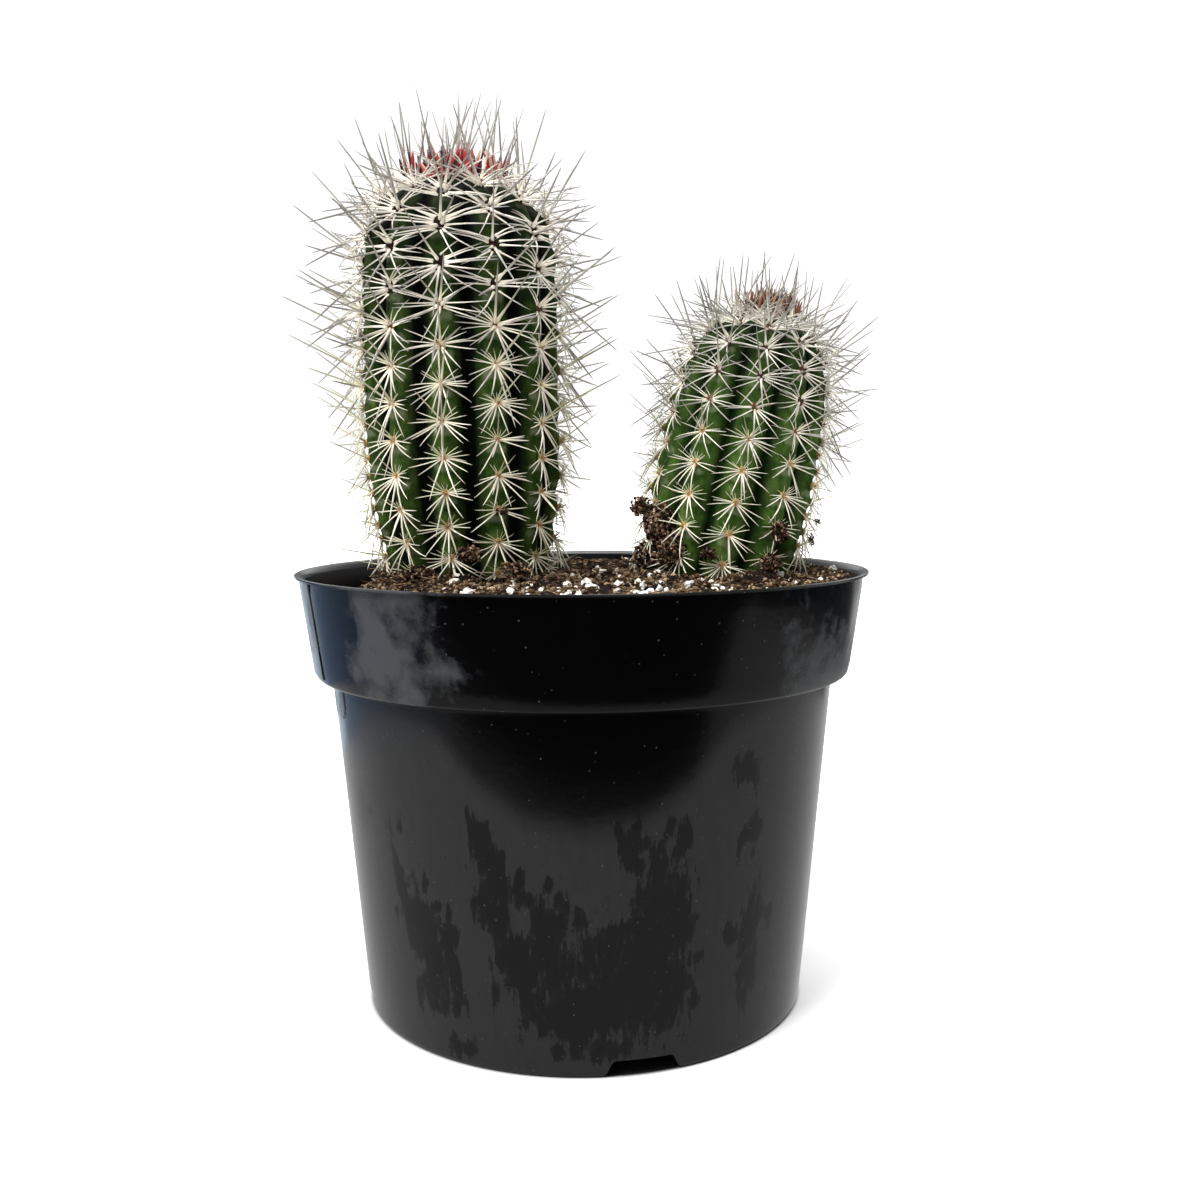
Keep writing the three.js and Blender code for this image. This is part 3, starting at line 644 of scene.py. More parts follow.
# The same for the central spines, with how far each rises off the skin in degrees
CENTRALS = np.array([
    (20, 24, 9, 23, 56), (-28, -30, 9, 21, 58), (100, 76, 8, 17, 58), (170, 170, 12.5, 20, 36),
    (222, 236, 9, 16, 46),
])
COARSE_FROM_TO = 0.45, 0.78  # share of the stem's height over which the spines turn coarse
RIM_ROWS = 2.4, 4.6  # rows from the crown over which its rim ends
FAN_RISE_LOW, FAN_RISE_HIGH, RIM_RISE, YOUNG_RISE = 19.0, 13.0, 10.0, 68.0  # degrees
YOUNG_SHORT, LONG_SHARE = 7.0, 0.1  # length in mm of most young spines, and how many are long
SEAT_LOW, SEAT_UP, SEAT_ACROSS = 0.45, 2.2, 1.6  # half sizes in mm of the oval that a fan's feet stand on
THIN, LOWER_EXTRA, COARSE, YOUNG_THICK, YOUNG_SLIM = 0.12, 0.1, 0.196, 0.62, 0.28  # radii in mm


# %% Spine lines
def spine_lines(stem, rng):
    """Root, tip and bow of every spine. Its direction is turned from straight up the rib and rises off
    the skin, most of all in the rim of the crown. Its length runs from the low value to the high one up
    the stem. Young spines at the crown are short, and some are long. The roots stand on an oval, large
    high up, where the fan combs out sideways. Some spines are dropped by chance, fewest in the rim."""
    found = areoles(stem)
    fan = np.concatenate([FAN, FAN * [-1, -1, 1, 1]])
    table = np.concatenate([np.c_[fan, np.full(len(fan), FAN_RISE_LOW)], CENTRALS])
    low_turn, high_turn, low_length, high_length, low_rise = table.T
    shape = (len(found.row), len(table))
    central = np.broadcast_to(np.arange(len(table)) >= len(fan), shape)
    share = np.broadcast_to(found.share[:, None], shape)
    upper = smoothstep(share, *COARSE_FROM_TO)
    coarse = stem.coarse * upper
    high = np.where(central, smoothstep(share, stem.long_from, stem.long_from + 0.5), coarse)
    fresh = 1 - smoothstep(found.row, stem.fresh_row - 0.4, stem.fresh_row + 0.4)
    young = (rng.random(shape) < fresh[:, None]) * 1.0
    rim = (1 - smoothstep(found.row, *RIM_ROWS)[:, None]) * high
    turns = np.radians(between(low_turn, high_turn, high)) * (1 - 0.35 * young)
    turns = turns + rng.normal(0, 0.08, shape)
    rises = np.radians(low_rise + ((FAN_RISE_HIGH - FAN_RISE_LOW) * high + RIM_RISE * rim) * ~central)
    rises = rises + rng.normal(0, 0.09, shape) * (1 + 1.1 * rim)
    rises = between(rises, np.radians(YOUNG_RISE) + rng.normal(0, 0.15, shape), young)
    lengths = between(low_length, high_length, high) * stem.spine_size * rng.uniform(0.78, 1.14, shape)
    long = rng.random(shape) < LONG_SHARE
    young_length = np.where(long, stem.young_long, YOUNG_SHORT) * rng.uniform(0.6, 1.25, shape)
    lengths = between(lengths, young_length, young)
    up, across, out = found.up[:, None], found.across[:, None], found.out[:, None]
    at, wide = np.radians(low_turn), coarse * (1 - 0.6 * young)
    inner = np.where(central, 0.42, 1.0)
    seat_up = between(SEAT_LOW, SEAT_UP, wide) * np.cos(at) * inner
    seat_across = between(SEAT_LOW, SEAT_ACROSS, wide) * np.sin(at) * inner
    roots = found.at[:, None] + seat_up[..., None] * up + seat_across[..., None] * across + 0.25 * out
    tips = roots + lengths[..., None] * turned(rises, turned(turns, up, across), out)
    bow = (0.05 * high * np.cos(at))[..., None] * up + 0.07 * out + rng.normal(0, 0.014, (*shape, 3))
    bow = bow * (lengths * (1 - young) * ~central)[..., None]
    dropped = 0.23 + 0.1 * upper + 0.3 * central * (1 - high) - 0.22 * rim * (1 - young) + 0.16 * young
    keep = rng.random(shape) > dropped
    low_side = (1 - np.cos(turns)) / 2  # 0 for a spine that points up its rib, 1 for one that points down
    every = dict(roots=roots, tips=tips, bow=bow, height_share=share, high=high, young=young,
                 central=central, low_side=low_side, slim=young * long)
    return SimpleNamespace(**{key: value[keep] for key, value in every.items()})


def fit_in_box(roots, tips):
    """Shortens each spine that would leave the CAD model's box, by the largest share that fits."""
    low, high = (np.array(corner) / MM for corner in cad_bounds)
    span = np.where(np.abs(tips - roots) < 1e-6, 1e-6, tips - roots)
    room = np.where(span > 0, (high - 0.3 - roots) / span, (low + 0.3 - roots) / span)
    return roots + (tips - roots) * np.minimum(1, room.min(axis=1))[:, None]


# %% Spines
def add_spines(stem, seed):
    """All the spines of one plant as one piece. The nearest spine to each hanger's place takes its
    reach. Low on the stem the spines that point down are the thick ones. Near the crown all are
    thicker, on swollen feet, and central and young ones thickest."""
    rng = np.random.default_rng(seed)
    spines = spine_lines(stem, rng)
    roots, tips = place(stem, spines.roots), place(stem, spines.tips)
    for spot, reach in stem.hangers:
        pick = np.linalg.norm(roots - spot, axis=1).argmin()
        tips[pick], spines.central[pick], spines.young[pick] = roots[pick] + reach, True, 0
    tips = fit_in_box(roots, tips)
    high, young = spines.high, spines.young
    radii = between(THIN + LOWER_EXTRA * spines.low_side, COARSE, high)
    radii = radii + spines.central * (0.03 + 0.085 * high * stem.coarse)
    radii = between(radii, between(YOUNG_THICK, YOUNG_SLIM, spines.slim), young)
    radii = radii * rng.uniform(0.85, 1.12, len(roots)) * stem.spine_size
    bow = place(stem, spines.bow) - stem.base
    add_needles(
        stem.name + "_spines", stem.name, rng, roots, tips, bow, radii, feet=1.2 + 0.7 * high * (1 - young),
        height_share=spines.height_share, young=young, central=spines.central, low_side=spines.low_side,
    )


for stem, seed in zip(STEMS, (31, 32)):
    add_spines(stem, seed)

# %% [markdown]
# ## Areole felt
#
# Each areole is a small cushion of felt. A dome with a rough surface gives its body, and short hairs
# that stand out of it give its soft edge. The hairs use the same needles as the spines, much smaller.

# %% Felt cushions
FELT_TOP_ROW = 0.2
DOME_STEPS, DOME_SIDES, HAIRS_EACH = 5, 10, 16


def add_felt(stem, seed):
    """Domes over the areoles: each ring of a dome is a circle of sin(tilt) times the radius, raised by
    cos(tilt) times the height, longer up the rib than across it, and roughened."""
    rng = np.random.default_rng(seed)
    found = areoles(stem, FELT_TOP_ROW)
    tilt = np.linspace(np.pi / 2 + 0.25, 0.18, DOME_STEPS)[:, None]
    turn = circle(DOME_SIDES)[:, None]
    size = 1.0 + 0.35 * smoothstep(found.share, *COARSE_FROM_TO)[:, None, None]
    ring = (np.sin(tilt) * size * rng.uniform(0.85, 1.15, (len(size), DOME_STEPS, DOME_SIDES)))[..., None]
    at, up, across, out = (array[:, None, None] for array in (found.at, found.up, found.across, found.out))
    points = at + 1.2 * ring * np.cos(turn) * up + ring * np.sin(turn) * across
    points = points + 0.7 * np.cos(tilt)[..., None] * out
    ends = np.stack([found.at - 0.5 * found.out, found.at + 0.72 * found.out], axis=1)
    points = np.concatenate([points.reshape(len(ends), -1, 3), ends], axis=1)
    count, per = points.shape[:2]
    faces = copies([block[:, ::-1] for block in body_faces(DOME_STEPS, DOME_SIDES)], count, per)
    values = {"height_share": np.repeat(found.share, per), "shade": np.repeat(rng.random(count), per)}
    points = place(stem, points.reshape(-1, 3))
    add_piece(stem.name + "_felt", points, faces, stem.name, values=values, sharp=80)


def add_felt_hairs(stem, seed):
    """Short hairs that stand out all over each cushion, with random turns and rises."""
    rng = np.random.default_rng(seed)
    found = areoles(stem, FELT_TOP_ROW)
    shape = (len(found.row), HAIRS_EACH)
    turn, rise = rng.uniform(0, 2 * np.pi, shape), rng.uniform(0.2, 1.4, shape)
    direction = turned(rise, turned(turn, found.up[:, None], found.across[:, None]), found.out[:, None])
    roots = found.at[:, None] + 0.5 * direction
    tips = roots + direction * rng.uniform(0.7, 1.5, shape)[..., None]
    roots, tips = (place(stem, ends.reshape(-1, 3)) for ends in (roots, tips))
    bends, radii = rng.normal(0, 0.2, roots.shape), np.full(len(roots), 0.09)
    add_needles(
        stem.name + "_felt_hairs", stem.name, rng, roots, tips, bends, radii, sides=3, sharp=80,
        height_share=np.repeat(found.share, HAIRS_EACH),
    )


for add, seeds in ((add_felt, (41, 42)), (add_felt_hairs, (43, 44))):
    for stem, seed in zip(STEMS, seeds):
        add(stem, seed)

# %% [markdown]
# ## The potting mix
#
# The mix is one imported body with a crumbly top. It is heaped a little round each stem and has dropped
# away along the left wall. The body is a height over the plane, roughened by noise at the size of its
# crumbs, and it goes down inside the pot to the floor.

# %% Mix surface
SUNK_EDGE, SUNK_WIDTH, SUNK_DEPTH = -56.0, 9.0, 9.0
COLLAR_HEIGHT, COLLAR_WIDTH = 2.4, 13.0
MIX_COLUMNS, MIX_RINGS = 420, 190


def foot_distance(x, y):
    """How far outside the nearer stem's foot a point of the mix lies."""
    gaps = [
        np.hypot(x - stem.base[0] - stem.bow, y - stem.base[1]) - dict(stem.profile)[0] for stem in STEMS
    ]
    return np.minimum(*gaps)


def mix_level(x, y):
    """The smooth height of the mix: level, lower at the left wall and heaped up against the stems."""
    waves = np.sin(0.21 * x + 1) * np.cos(0.17 * y) + 0.6 * np.sin(0.43 * y - 0.31 * x)
    sunk = smoothstep(SUNK_EDGE - x, 0, SUNK_WIDTH)
    collar = np.exp(-((np.maximum(foot_distance(x, y), 0) / COLLAR_WIDTH) ** 2))
    return SOIL - 1 + 0.7 * waves * (1 - sunk) - SUNK_DEPTH * sunk + COLLAR_HEIGHT * collar


def mix_top(x, y):
    """The crumbly height: the smooth one with lumps, crumbs and grit added."""
    flat = np.stack([x, y, 0 * x], axis=-1)
    lumps = 0.9 * noise(flat, 0.16) + 0.9 * np.maximum(rough(flat + 50, 0.42), -0.3)
    return mix_level(x, y) + lumps + 0.5 * rough(flat + 90, 0.9) - 0.5


def add_mix():
    """The body: rings up the inside of the pot, then rings inwards over the top to the middle."""
    floor = FLOOR + WALL + 0.3
    wall_z = np.array([floor, 30, 60, BAND_BOTTOM, LEDGE + 0.3, LEDGE + 0.3])
    wall_r = outer_radius(wall_z) - WALL - 0.4
    wall_r[-2:] = WALL_TOP_RADIUS - WALL - 0.4, BAND_BOTTOM_RADIUS - WALL - 0.5
    reach = outer_radius(108.0) - WALL - 0.5
    top_r = reach * (1 - np.linspace(0, 1, MIX_RINGS, endpoint=False) ** 1.05)
    r, turn = np.append(wall_r, top_r)[:, None], circle(MIX_COLUMNS)
    x, y = r * np.cos(turn), r * np.sin(turn)
    z = mix_top(x, y)
    z[:len(wall_z)] = wall_z[:, None]
    ends = [[0, 0, floor], [0, 0, mix_top(np.zeros(1), np.zeros(1))[0]]]
    points = np.concatenate([np.stack([x, y, z], axis=-1).reshape(-1, 3), ends])
    add_piece("mix_body", points, body_faces(*z.shape), "potting_mix", "potting_mix", sharp=180)


add_mix()

# %% [markdown]
# Loose crumbs, bark fibres and white perlite lie on the body. Each is one of a few irregular lumps,
# stretched, turned and set down by a seeded draw, with the perlite thickest at the front.

# %% Lumps
GOLDEN = (1 + 5**0.5) / 2
ICOSA = np.array([(0, a, b) for a in (-1, 1) for b in (-GOLDEN, GOLDEN)])
ICOSA = np.concatenate([np.roll(ICOSA, shift, axis=1) for shift in range(3)]) / np.hypot(1, GOLDEN)


def hull_faces(points):
    """Triangles of a convex body whose points all lie on a sphere: each three points with all the
    others on one side of their plane, turned to face outwards."""
    triples = np.array(list(combinations(range(len(points)), 3)))
    a, b, c = (points[triples[:, i]] for i in range(3))
    normal = np.cross(b - a, c - a)
    side = np.einsum("nd,nmd->nm", normal, points[None] - a[:, None])
    flat = (side < 1e-6).all(axis=1) | (side > -1e-6).all(axis=1)
    inward = (normal * a).sum(axis=1) < 0
    triples[inward] = triples[inward][:, ::-1]
    return triples[flat]


def split_faces(points, faces):
    """Each triangle cut into four at the middles of its sides, with the new points on the sphere."""
    sides = np.sort(np.concatenate([faces[:, [0, 1]], faces[:, [1, 2]], faces[:, [2, 0]]]), axis=1)
    pairs, where = np.unique(sides, axis=0, return_inverse=True)
    a, b, c = faces.T
    ab, bc, ca = where.reshape(3, -1) + len(points)
    new = [[a, ab, ca], [b, bc, ab], [c, ca, bc], [ab, bc, ca]]
    points = np.concatenate([points, unit(points[pairs].mean(axis=1))])
    return points, np.concatenate([np.stack(three, axis=1) for three in new])


def random_turns(rng, count):
    """Random rotations, from unit quaternions of four normal draws."""
    w, x, y, z = unit(rng.normal(size=(4, count)).T).T
    rows = [
        [1 - 2 * (y * y + z * z), 2 * (x * y - z * w), 2 * (x * z + y * w)],
        [2 * (x * y + z * w), 1 - 2 * (x * x + z * z), 2 * (y * z - x * w)],
        [2 * (x * z - y * w), 2 * (y * z + x * w), 1 - 2 * (x * x + y * y)],
    ]
    return np.array(rows).transpose(2, 0, 1)


def add_lumps(name, seed, centres, sizes, uneven, splits=0, sharp=20):
    """A piece made of many lumps: one round shape, dented by noise and stretched and turned differently
    each time, with a random shade for each."""
    rng = np.random.default_rng(seed)
    shape, faces = ICOSA, hull_faces(ICOSA)
    for _ in range(splits):
        shape, faces = split_faces(shape, faces)
    count, per = len(centres), len(shape)
    dents = 1 + uneven * noise(shape[None] * 1.3 + rng.uniform(0, 30, (count, 1, 3)), 1.0)
    stretch = rng.uniform(0.65, 1.25, (count, 1, 3))
    local = shape[None] * dents[..., None] * stretch * sizes[:, None, None]
    points = np.einsum("nij,npj->npi", random_turns(rng, count), local) + centres[:, None]
    values = {"shade": np.repeat(rng.random(count), per)}
    blocks = copies([faces], count, per)
    add_piece(name, points.reshape(-1, 3), blocks, "potting_mix", values=values, sharp=sharp)


print("a lump has", len(hull_faces(ICOSA)), "faces")

# %% Crumbs and perlite
INNER_EDGE = 75.5  # radius in mm that loose bits stay within
# The large grains at the front: x, y and radius
LARGE_GRAINS = np.array([
    (-28.5, -43.6, 2.3), (-13.6, -53, 1.1), (-8.8, -39.5, 1.3), (-11, -33, 1.1), (-3.9, -27, 1.5),
    (1, -22, 2.4), (-3.9, -45.6, 1.6), (-1.8, -53.9, 1.3), (4, -54.4, 2), (6.6, -57.2, 1.1),
    (9.6, -24, 2), (12.7, -38.4, 1.3), (17.2, -41.6, 1.6), (19.2, -52.9, 1.4), (22, -58.4, 1.3),
    (26.5, -56.1, 1.6), (27.5, -27, 1.2), (34.5, -34.2, 1.3), (74, 11.5, 1.3),
])
KNOBS = 9


def scatter(rng, count, x_range, y_range, size_range):
    """Places on the open mix: random ones in a rectangle, kept where they clear the stems and wall."""
    x, y, size = (rng.uniform(*ends, 8 * count) for ends in (x_range, y_range, size_range))
    free = (foot_distance(x, y) > size * 0.3) & (np.hypot(x, y) < INNER_EDGE - size)
    x, y, size = x[free][:count], y[free][:count], size[free][:count]
    return np.stack([x, y, mix_top(x, y)], axis=1), size


rng = np.random.default_rng(51)
places, sizes = scatter(rng, 9500, (-76, 76), (-76, 76), (0.38, 0.88))
sizes = sizes**2  # many small ones and few large ones
places[:, 2] += 0.25 * sizes
add_lumps("mix_crumbs", 52, places, sizes, 0.4)
front, front_sizes = scatter(rng, 70, (-30, 38), (-74, -24), (0.5, 1.3))
others, other_sizes = scatter(rng, 110, (-70, 74), (-72, 74), (0.3, 1.2))
x, y, sizes = LARGE_GRAINS.T
large = np.stack([x, y, mix_top(x, y)], axis=1)
# Popped like corn: each large grain is a core with knobs all over it
knobs = unit(rng.normal(size=(len(large), KNOBS, 3))) * 0.55 * sizes[:, None, None]
knob_sizes = np.repeat(sizes, KNOBS) * rng.uniform(0.3, 0.5, len(large) * KNOBS)
places = np.concatenate([large, (large[:, None] + knobs).reshape(-1, 3), front, others])
sizes = np.concatenate([0.72 * sizes, knob_sizes, front_sizes, other_sizes])
places[:, 2] += 0.12 * sizes
add_lumps("mix_perlite", 53, places, sizes, 0.55, splits=1, sharp=35)

# %% [markdown]
# Some soil clings to the spines near the foot of each stem: a big clod on the short plant's left side,
# and smaller ones round both. A clod is a heap of crumbs drawn inside an ellipsoid, thick in the middle.

# %% Clods
# Middle of each clod, its half sizes, and a third of how many crumbs it has
CLODS = np.array([
    (21.5, -7.5, 133.5, 4.6, 5.5, 6.5, 300), (24.5, -12, 126.5, 4.6, 5, 5.5, 240),
    (16.5, -4.5, 138.5, 3, 3.2, 3, 70), (19, -2, 124, 5, 7, 5, 220),
    (34, -19, 126, 2.6, 2.2, 1.7, 60), (53.6, -17.2, 131.5, 2.6, 2.2, 3, 90),
    (51, -18.4, 123.4, 3.4, 3, 2.4, 90), (63.8, -8, 129, 1.1, 1.3, 1.9, 26),
    (66, -6, 134, 1.2, 1.2, 0.9, 18), (-21, -22, 138, 2.1, 2, 1.2, 34),
    (-30, -24.2, 126.6, 3.6, 2.8, 2.5, 90), (-18, -22.5, 122.5, 4.5, 4, 2.2, 70),
    (-44, -21, 121.5, 5, 4, 2.2, 70), (-36, 36, 124, 4, 3, 3, 90),
    (46, 30, 124, 4, 3, 3, 90),
])


def add_clods(seed):
    """Crumbs at a random direction and at a radius of u^(1/2) inside each clod's ellipsoid, round one
    large lump in its middle."""
    rng = np.random.default_rng(seed)
    rows = np.repeat(CLODS, 3 * CLODS[:, 6].astype(int), axis=0)
    middles, halves = rows[:, :3], rows[:, 3:6]
    ways = unit(rng.normal(size=middles.shape))
    centres = middles + ways * np.sqrt(rng.random(len(ways)))[:, None] * halves
    sizes = rng.uniform(0.16, 0.6, len(centres)) * np.minimum(1, halves.min(axis=1) / 2.0)
    centres = np.concatenate([centres, CLODS[:, :3]])
    sizes = np.append(sizes, CLODS[:, 3:6].min(axis=1) * 0.6)
    add_lumps("mix_clods", seed + 1, centres, sizes, 0.6)


add_clods(57)


# %% Fibres
def add_fibres(seed, count):
    """Bark and peat fibres: short bowed needles that lie almost flat on the mix."""
    rng = np.random.default_rng(seed)
    roots, _ = scatter(rng, count, (-75, 75), (-75, 75), (0.3, 0.5))
    turn, rise = rng.uniform(0, 2 * np.pi, count), rng.normal(0.08, 0.16, count)
    length = rng.uniform(1.2, 5.0, count)[:, None]
    along = np.stack([np.cos(turn) * np.cos(rise), np.sin(turn) * np.cos(rise), np.sin(rise)], axis=1)
    roots = roots + [0, 0, 0.35]
    tips = roots + along * length
    inside = np.hypot(tips[:, 0], tips[:, 1]) < INNER_EDGE
    roots, tips = roots[inside], tips[inside]
    radii = rng.uniform(0.06, 0.2, len(roots))
    bends = rng.normal(0, 0.4, roots.shape)
    add_needles("mix_fibres", "potting_mix", rng, roots, tips, bends, radii, sides=4)


add_fibres(54, 3200)

# %% [markdown]
# ## Finishes
#
# Each finish is a small network of shader nodes. So that it reads like a recipe, whatever runs through
# the nodes is wrapped as a signal: +, - and * on signals place Math nodes, `ramp` turns a signal into
# colours, and `blend` uses it to go from one colour to another.


# %% Node helpers
def colour_of(value):
    """The four numbers of a colour, from its three or from one grey."""
    return (*value, 1) if isinstance(value, tuple) else (value, value, value, 1)


def feed(tree, socket, value):
    """Links a signal to a socket, or sets the socket to a plain value or colour."""
    if isinstance(value, Signal):
        tree.links.new(value.socket, socket)
    else:
        socket.default_value = colour_of(value) if socket.type == "RGBA" else value


def add_node(tree, kind, output, inputs=None, **properties):
    """Adds a shader node with these properties and inputs, and gives the signal of one output."""
    node = tree.nodes.new("ShaderNode" + kind)
    for key, value in properties.items():
        setattr(node, key, value)
    for key, value in (inputs or {}).items():
        feed(tree, node.inputs[key], value)
    return Signal(tree, node.outputs[output])


class Signal:
    """A value or colour that runs through the nodes of a finish."""

    def __init__(self, tree, socket):
        self.tree, self.socket = tree, socket

    def calculate(self, operation, first, second):
        return add_node(self.tree, "Math", 0, {0: first, 1: second}, operation=operation)

    def __add__(self, other):
        return self.calculate("ADD", self, other)

    def __sub__(self, other):
        return self.calculate("SUBTRACT", self, other)

    def __rsub__(self, other):
        return self.calculate("SUBTRACT", other, self)

    def __mul__(self, other):
        return self.calculate("MULTIPLY", self, other)

    def output(self, name):
        """Another output of the node that this signal comes from."""
        return Signal(self.tree, self.socket.node.outputs[name])

    def ramp(self, *stops):
        """A colour that runs through the stops, each a position and a colour or a grey."""
        colours = add_node(self.tree, "ValToRGB", "Color", {"Fac": self})
        elements = colours.socket.node.color_ramp.elements
        while len(elements) < len(stops):
            elements.new(0.5)
        for element, (position, colour) in zip(elements, stops):
            element.position, element.color = position, colour_of(colour)
        return colours

    def blend(self, first, second):
        """The first colour where this signal is 0, and the second where it is 1."""
        return add_node(self.tree, "Mix", 2, {0: self, 6: first, 7: second}, data_type="RGBA")

    def tint(self, colour):
        """This colour times another, channel by channel."""
        return add_node(
            self.tree, "Mix", 2, {0: 1.0, 6: self, 7: colour}, data_type="RGBA", blend_type="MULTIPLY"
        )


# %% [markdown]
# Fine grain is wanted on the plastic, the skin, the felt and the crumbs, at another size and depth on
# each. It is one node group with a size and a depth, which gives a bumped normal.

# %% Grain group
grain = bpy.data.node_groups.new("grain", "ShaderNodeTree")
for label, default in (("Size", 800.0), ("Depth", 0.1)):
    grain.interface.new_socket(label, in_out="INPUT", socket_type="NodeSocketFloat").default_value = default
grain.interface.new_socket("Normal", in_out="OUTPUT", socket_type="NodeSocketVector")
size = Signal(grain, grain.nodes.new("NodeGroupInput").outputs["Size"])
cloud_inputs = {"Vector": add_node(grain, "TexCoord", "Object"), "Scale": size, "Detail": 4.0}
cloud = add_node(grain, "TexNoise", "Fac", cloud_inputs)
bump_inputs = {"Height": cloud, "Strength": size.output("Depth"), "Distance": 0.0006}
bumped = add_node(grain, "Bump", "Normal", bump_inputs)
feed(grain, grain.nodes.new("NodeGroupOutput").inputs["Normal"], bumped)
print("the grain group has", len(grain.nodes), "nodes")


# %% Finish helper
class Finish:
    """A material with its shader, and the signals that a recipe starts from."""

    def __init__(self, name, roughness, specular, grain_size=None, grain_depth=0.0):
        self.material = bpy.data.materials.new(name)
        self.material.use_nodes = True
        self.tree = self.material.node_tree
        self.wear(Roughness=roughness, Specular_IOR_Level=specular)
        if grain_size:
            inputs = {"Size": grain_size, "Depth": grain_depth}
            self.wear(Normal=add_node(self.tree, "Group", "Normal", inputs, node_tree=grain))

    def wear(self, **sockets):
        """Sets constants on the shader's own sockets and links signals to them."""
        for key, value in sockets.items():
            feed(self.tree, self.tree.nodes["Principled BSDF"].inputs[key.replace("_", " ")], value)
        return self.material

    def value(self, name):
        """A value that comes along with the mesh."""
        return add_node(self.tree, "Attribute", "Fac", attribute_name=name)

    def where(self, squeeze=1.0):
        """Object coordinates, squeezed along Z, which stretches what is drawn with them upwards."""
        inputs = {"Vector": add_node(self.tree, "TexCoord", "Object"), "Scale": (1, 1, squeeze)}
        return add_node(self.tree, "Mapping", "Vector", inputs)

    def noise(self, scale, detail, roughness, squeeze=1.0):
        """Cloudy noise: how fine it is, how many octaves it has and how strong the fine ones are."""
        inputs = {"Vector": self.where(squeeze), "Scale": scale, "Detail": detail, "Roughness": roughness}
        return add_node(self.tree, "TexNoise", "Fac", inputs)


def dress(names, material):
    """Gives each of the named pieces a finish."""
    for name in names.split():
        bpy.data.objects[name].data.materials.clear()
        bpy.data.objects[name].data.materials.append(material)
    print(f"{names}: {material.name}, {len(material.node_tree.nodes)} nodes")


# %% [markdown]
# ### Black plastic
#
# The pot is black, so nearly all that shows on it is what it mirrors. Its wall has a cloudy film of dried
# water, a slightly paler base colour, and stays dark and glossy inside the patches, whose edges are
# frayed by two stretched noises. The band's smears are greyer and duller, the inside of the wall is
# dull too, and a few specks of dust lie all over.


# %% Pot finish
def make_black_plastic():
    finish = Finish("black_plastic", 0.2, 0.18, 500.0, 0.05)
    frayed = finish.noise(900.0, 4.0, 0.6, squeeze=0.2) + finish.noise(240.0, 7.0, 0.68, squeeze=0.6) - 1.0
    clean = (finish.value("wet") + frayed * 1.7).ramp((0.42, 0.0), (0.6, 0.75), (0.85, 0.9))
    film = finish.noise(420.0, 8.0, 0.75, squeeze=0.2).ramp((0.3, 0.72), (0.7, 1.0))
    haze = finish.value("haze") * (1.0 - clean) * film
    colour = haze.blend((0.0004, 0.0004, 0.0006), (0.0118, 0.0119, 0.0119))
    smeared = finish.value("smear")
    smear = (smeared + (finish.noise(95.0, 6.0, 0.6) - 0.5) * 2.2).ramp((0.3, 0.0), (0.8, 1.0))
    smear = smear * smeared.ramp((0.02, 0.0), (0.15, 1.0))
    colour = smear.blend(colour, (0.028, 0.03, 0.032))
    dust = add_node(finish.tree, "TexVoronoi", "Distance", {"Vector": finish.where(), "Scale": 700.0})
    chosen = add_node(finish.tree, "SeparateXYZ", "X", {"Vector": dust.output("Color")})
    speck = chosen.ramp((0.84, 0.0), (0.99, 1.0)).blend(0.0, dust.ramp((0.0, 1.0), (0.2, 0.0)))
    roughness = smear.blend(clean.blend(0.19, 0.15), 0.4)
    roughness = finish.value("inside").blend(roughness, 0.3)
    return finish.wear(Base_Color=speck.blend(colour, 0.06), Roughness=roughness)


dress("pot_shell pot_panel", make_black_plastic())

# %% [markdown]
# ### Cactus skin
#
# The skin is a waxy green. In the valleys a painted shade takes it to nearly black. On the crest below each
# areole lies a patch of grey bloom that is partly a painted sheen, and towards the crown a painted shade
# darkens it for the shadow of the crowded spines.


# %% Skin finish
def make_skin(name, dark, shadow, flank, light, bloom_and_sheen, valley_shade_start):
    finish = Finish(name, 0.7, 0.05, 900.0, 0.35)
    cloud = finish.noise(260.0, 7.0, 0.66, squeeze=0.6)
    base = cloud.ramp((0.36, shadow), (0.5, flank), (0.66, light))
    # Painted shade: deep in the valleys between the ribs the colour goes over to the dark one.
    base = finish.value("valley").ramp((valley_shade_start, 0.0), (valley_shade_start + 0.42, 1.0)).blend(base, dark)
    # Grey bloom below each areole, partly a painted sheen.
    patch = (finish.value("under") + (cloud - 0.5) * 1.6).ramp((0.25, 0.0), (0.85, 0.85))
    # Painted shade near the crown, for the shadow of the crowded spines.
    painted_crown_shade = finish.value("age").ramp((0.2, 0.2), (0.4, 0.5), (0.62, 1.0))
    return finish.wear(Base_Color=patch.blend(base, bloom_and_sheen).tint(painted_crown_shade))


dress("tall_cactus_stem", make_skin(
    "tall_skin", (0.0012, 0.0025, 0.0005), (0.006, 0.018, 0.002), (0.022, 0.045, 0.006),
    (0.05, 0.08, 0.015), (0.12, 0.145, 0.08), 0.34,
))
dress("short_cactus_stem", make_skin(
    "short_skin", (0.003, 0.01, 0.001), (0.014, 0.036, 0.004), (0.032, 0.066, 0.01),
    (0.06, 0.1, 0.022), (0.125, 0.17, 0.075), 0.46,
))

# %% [markdown]
# ### Spines and felt
#
# Spines are horn: ivory low on the stem, greyer and darker at the tip higher up, and red or brown where
# they are new. Each is tan at its foot and has its own shade, and the thin ones are a little yellow. The
# felt goes from tan to grey-brown towards the crown.

# %% Spine finishes
IVORY, DARK_TIP, YELLOWISH, TAN_FOOT, PALE_END = (
    (0.78, 0.74, 0.6), (0.12, 0.11, 0.105), (0.42, 0.42, 0.2), (0.42, 0.2, 0.07), (0.27, 0.255, 0.225)
)


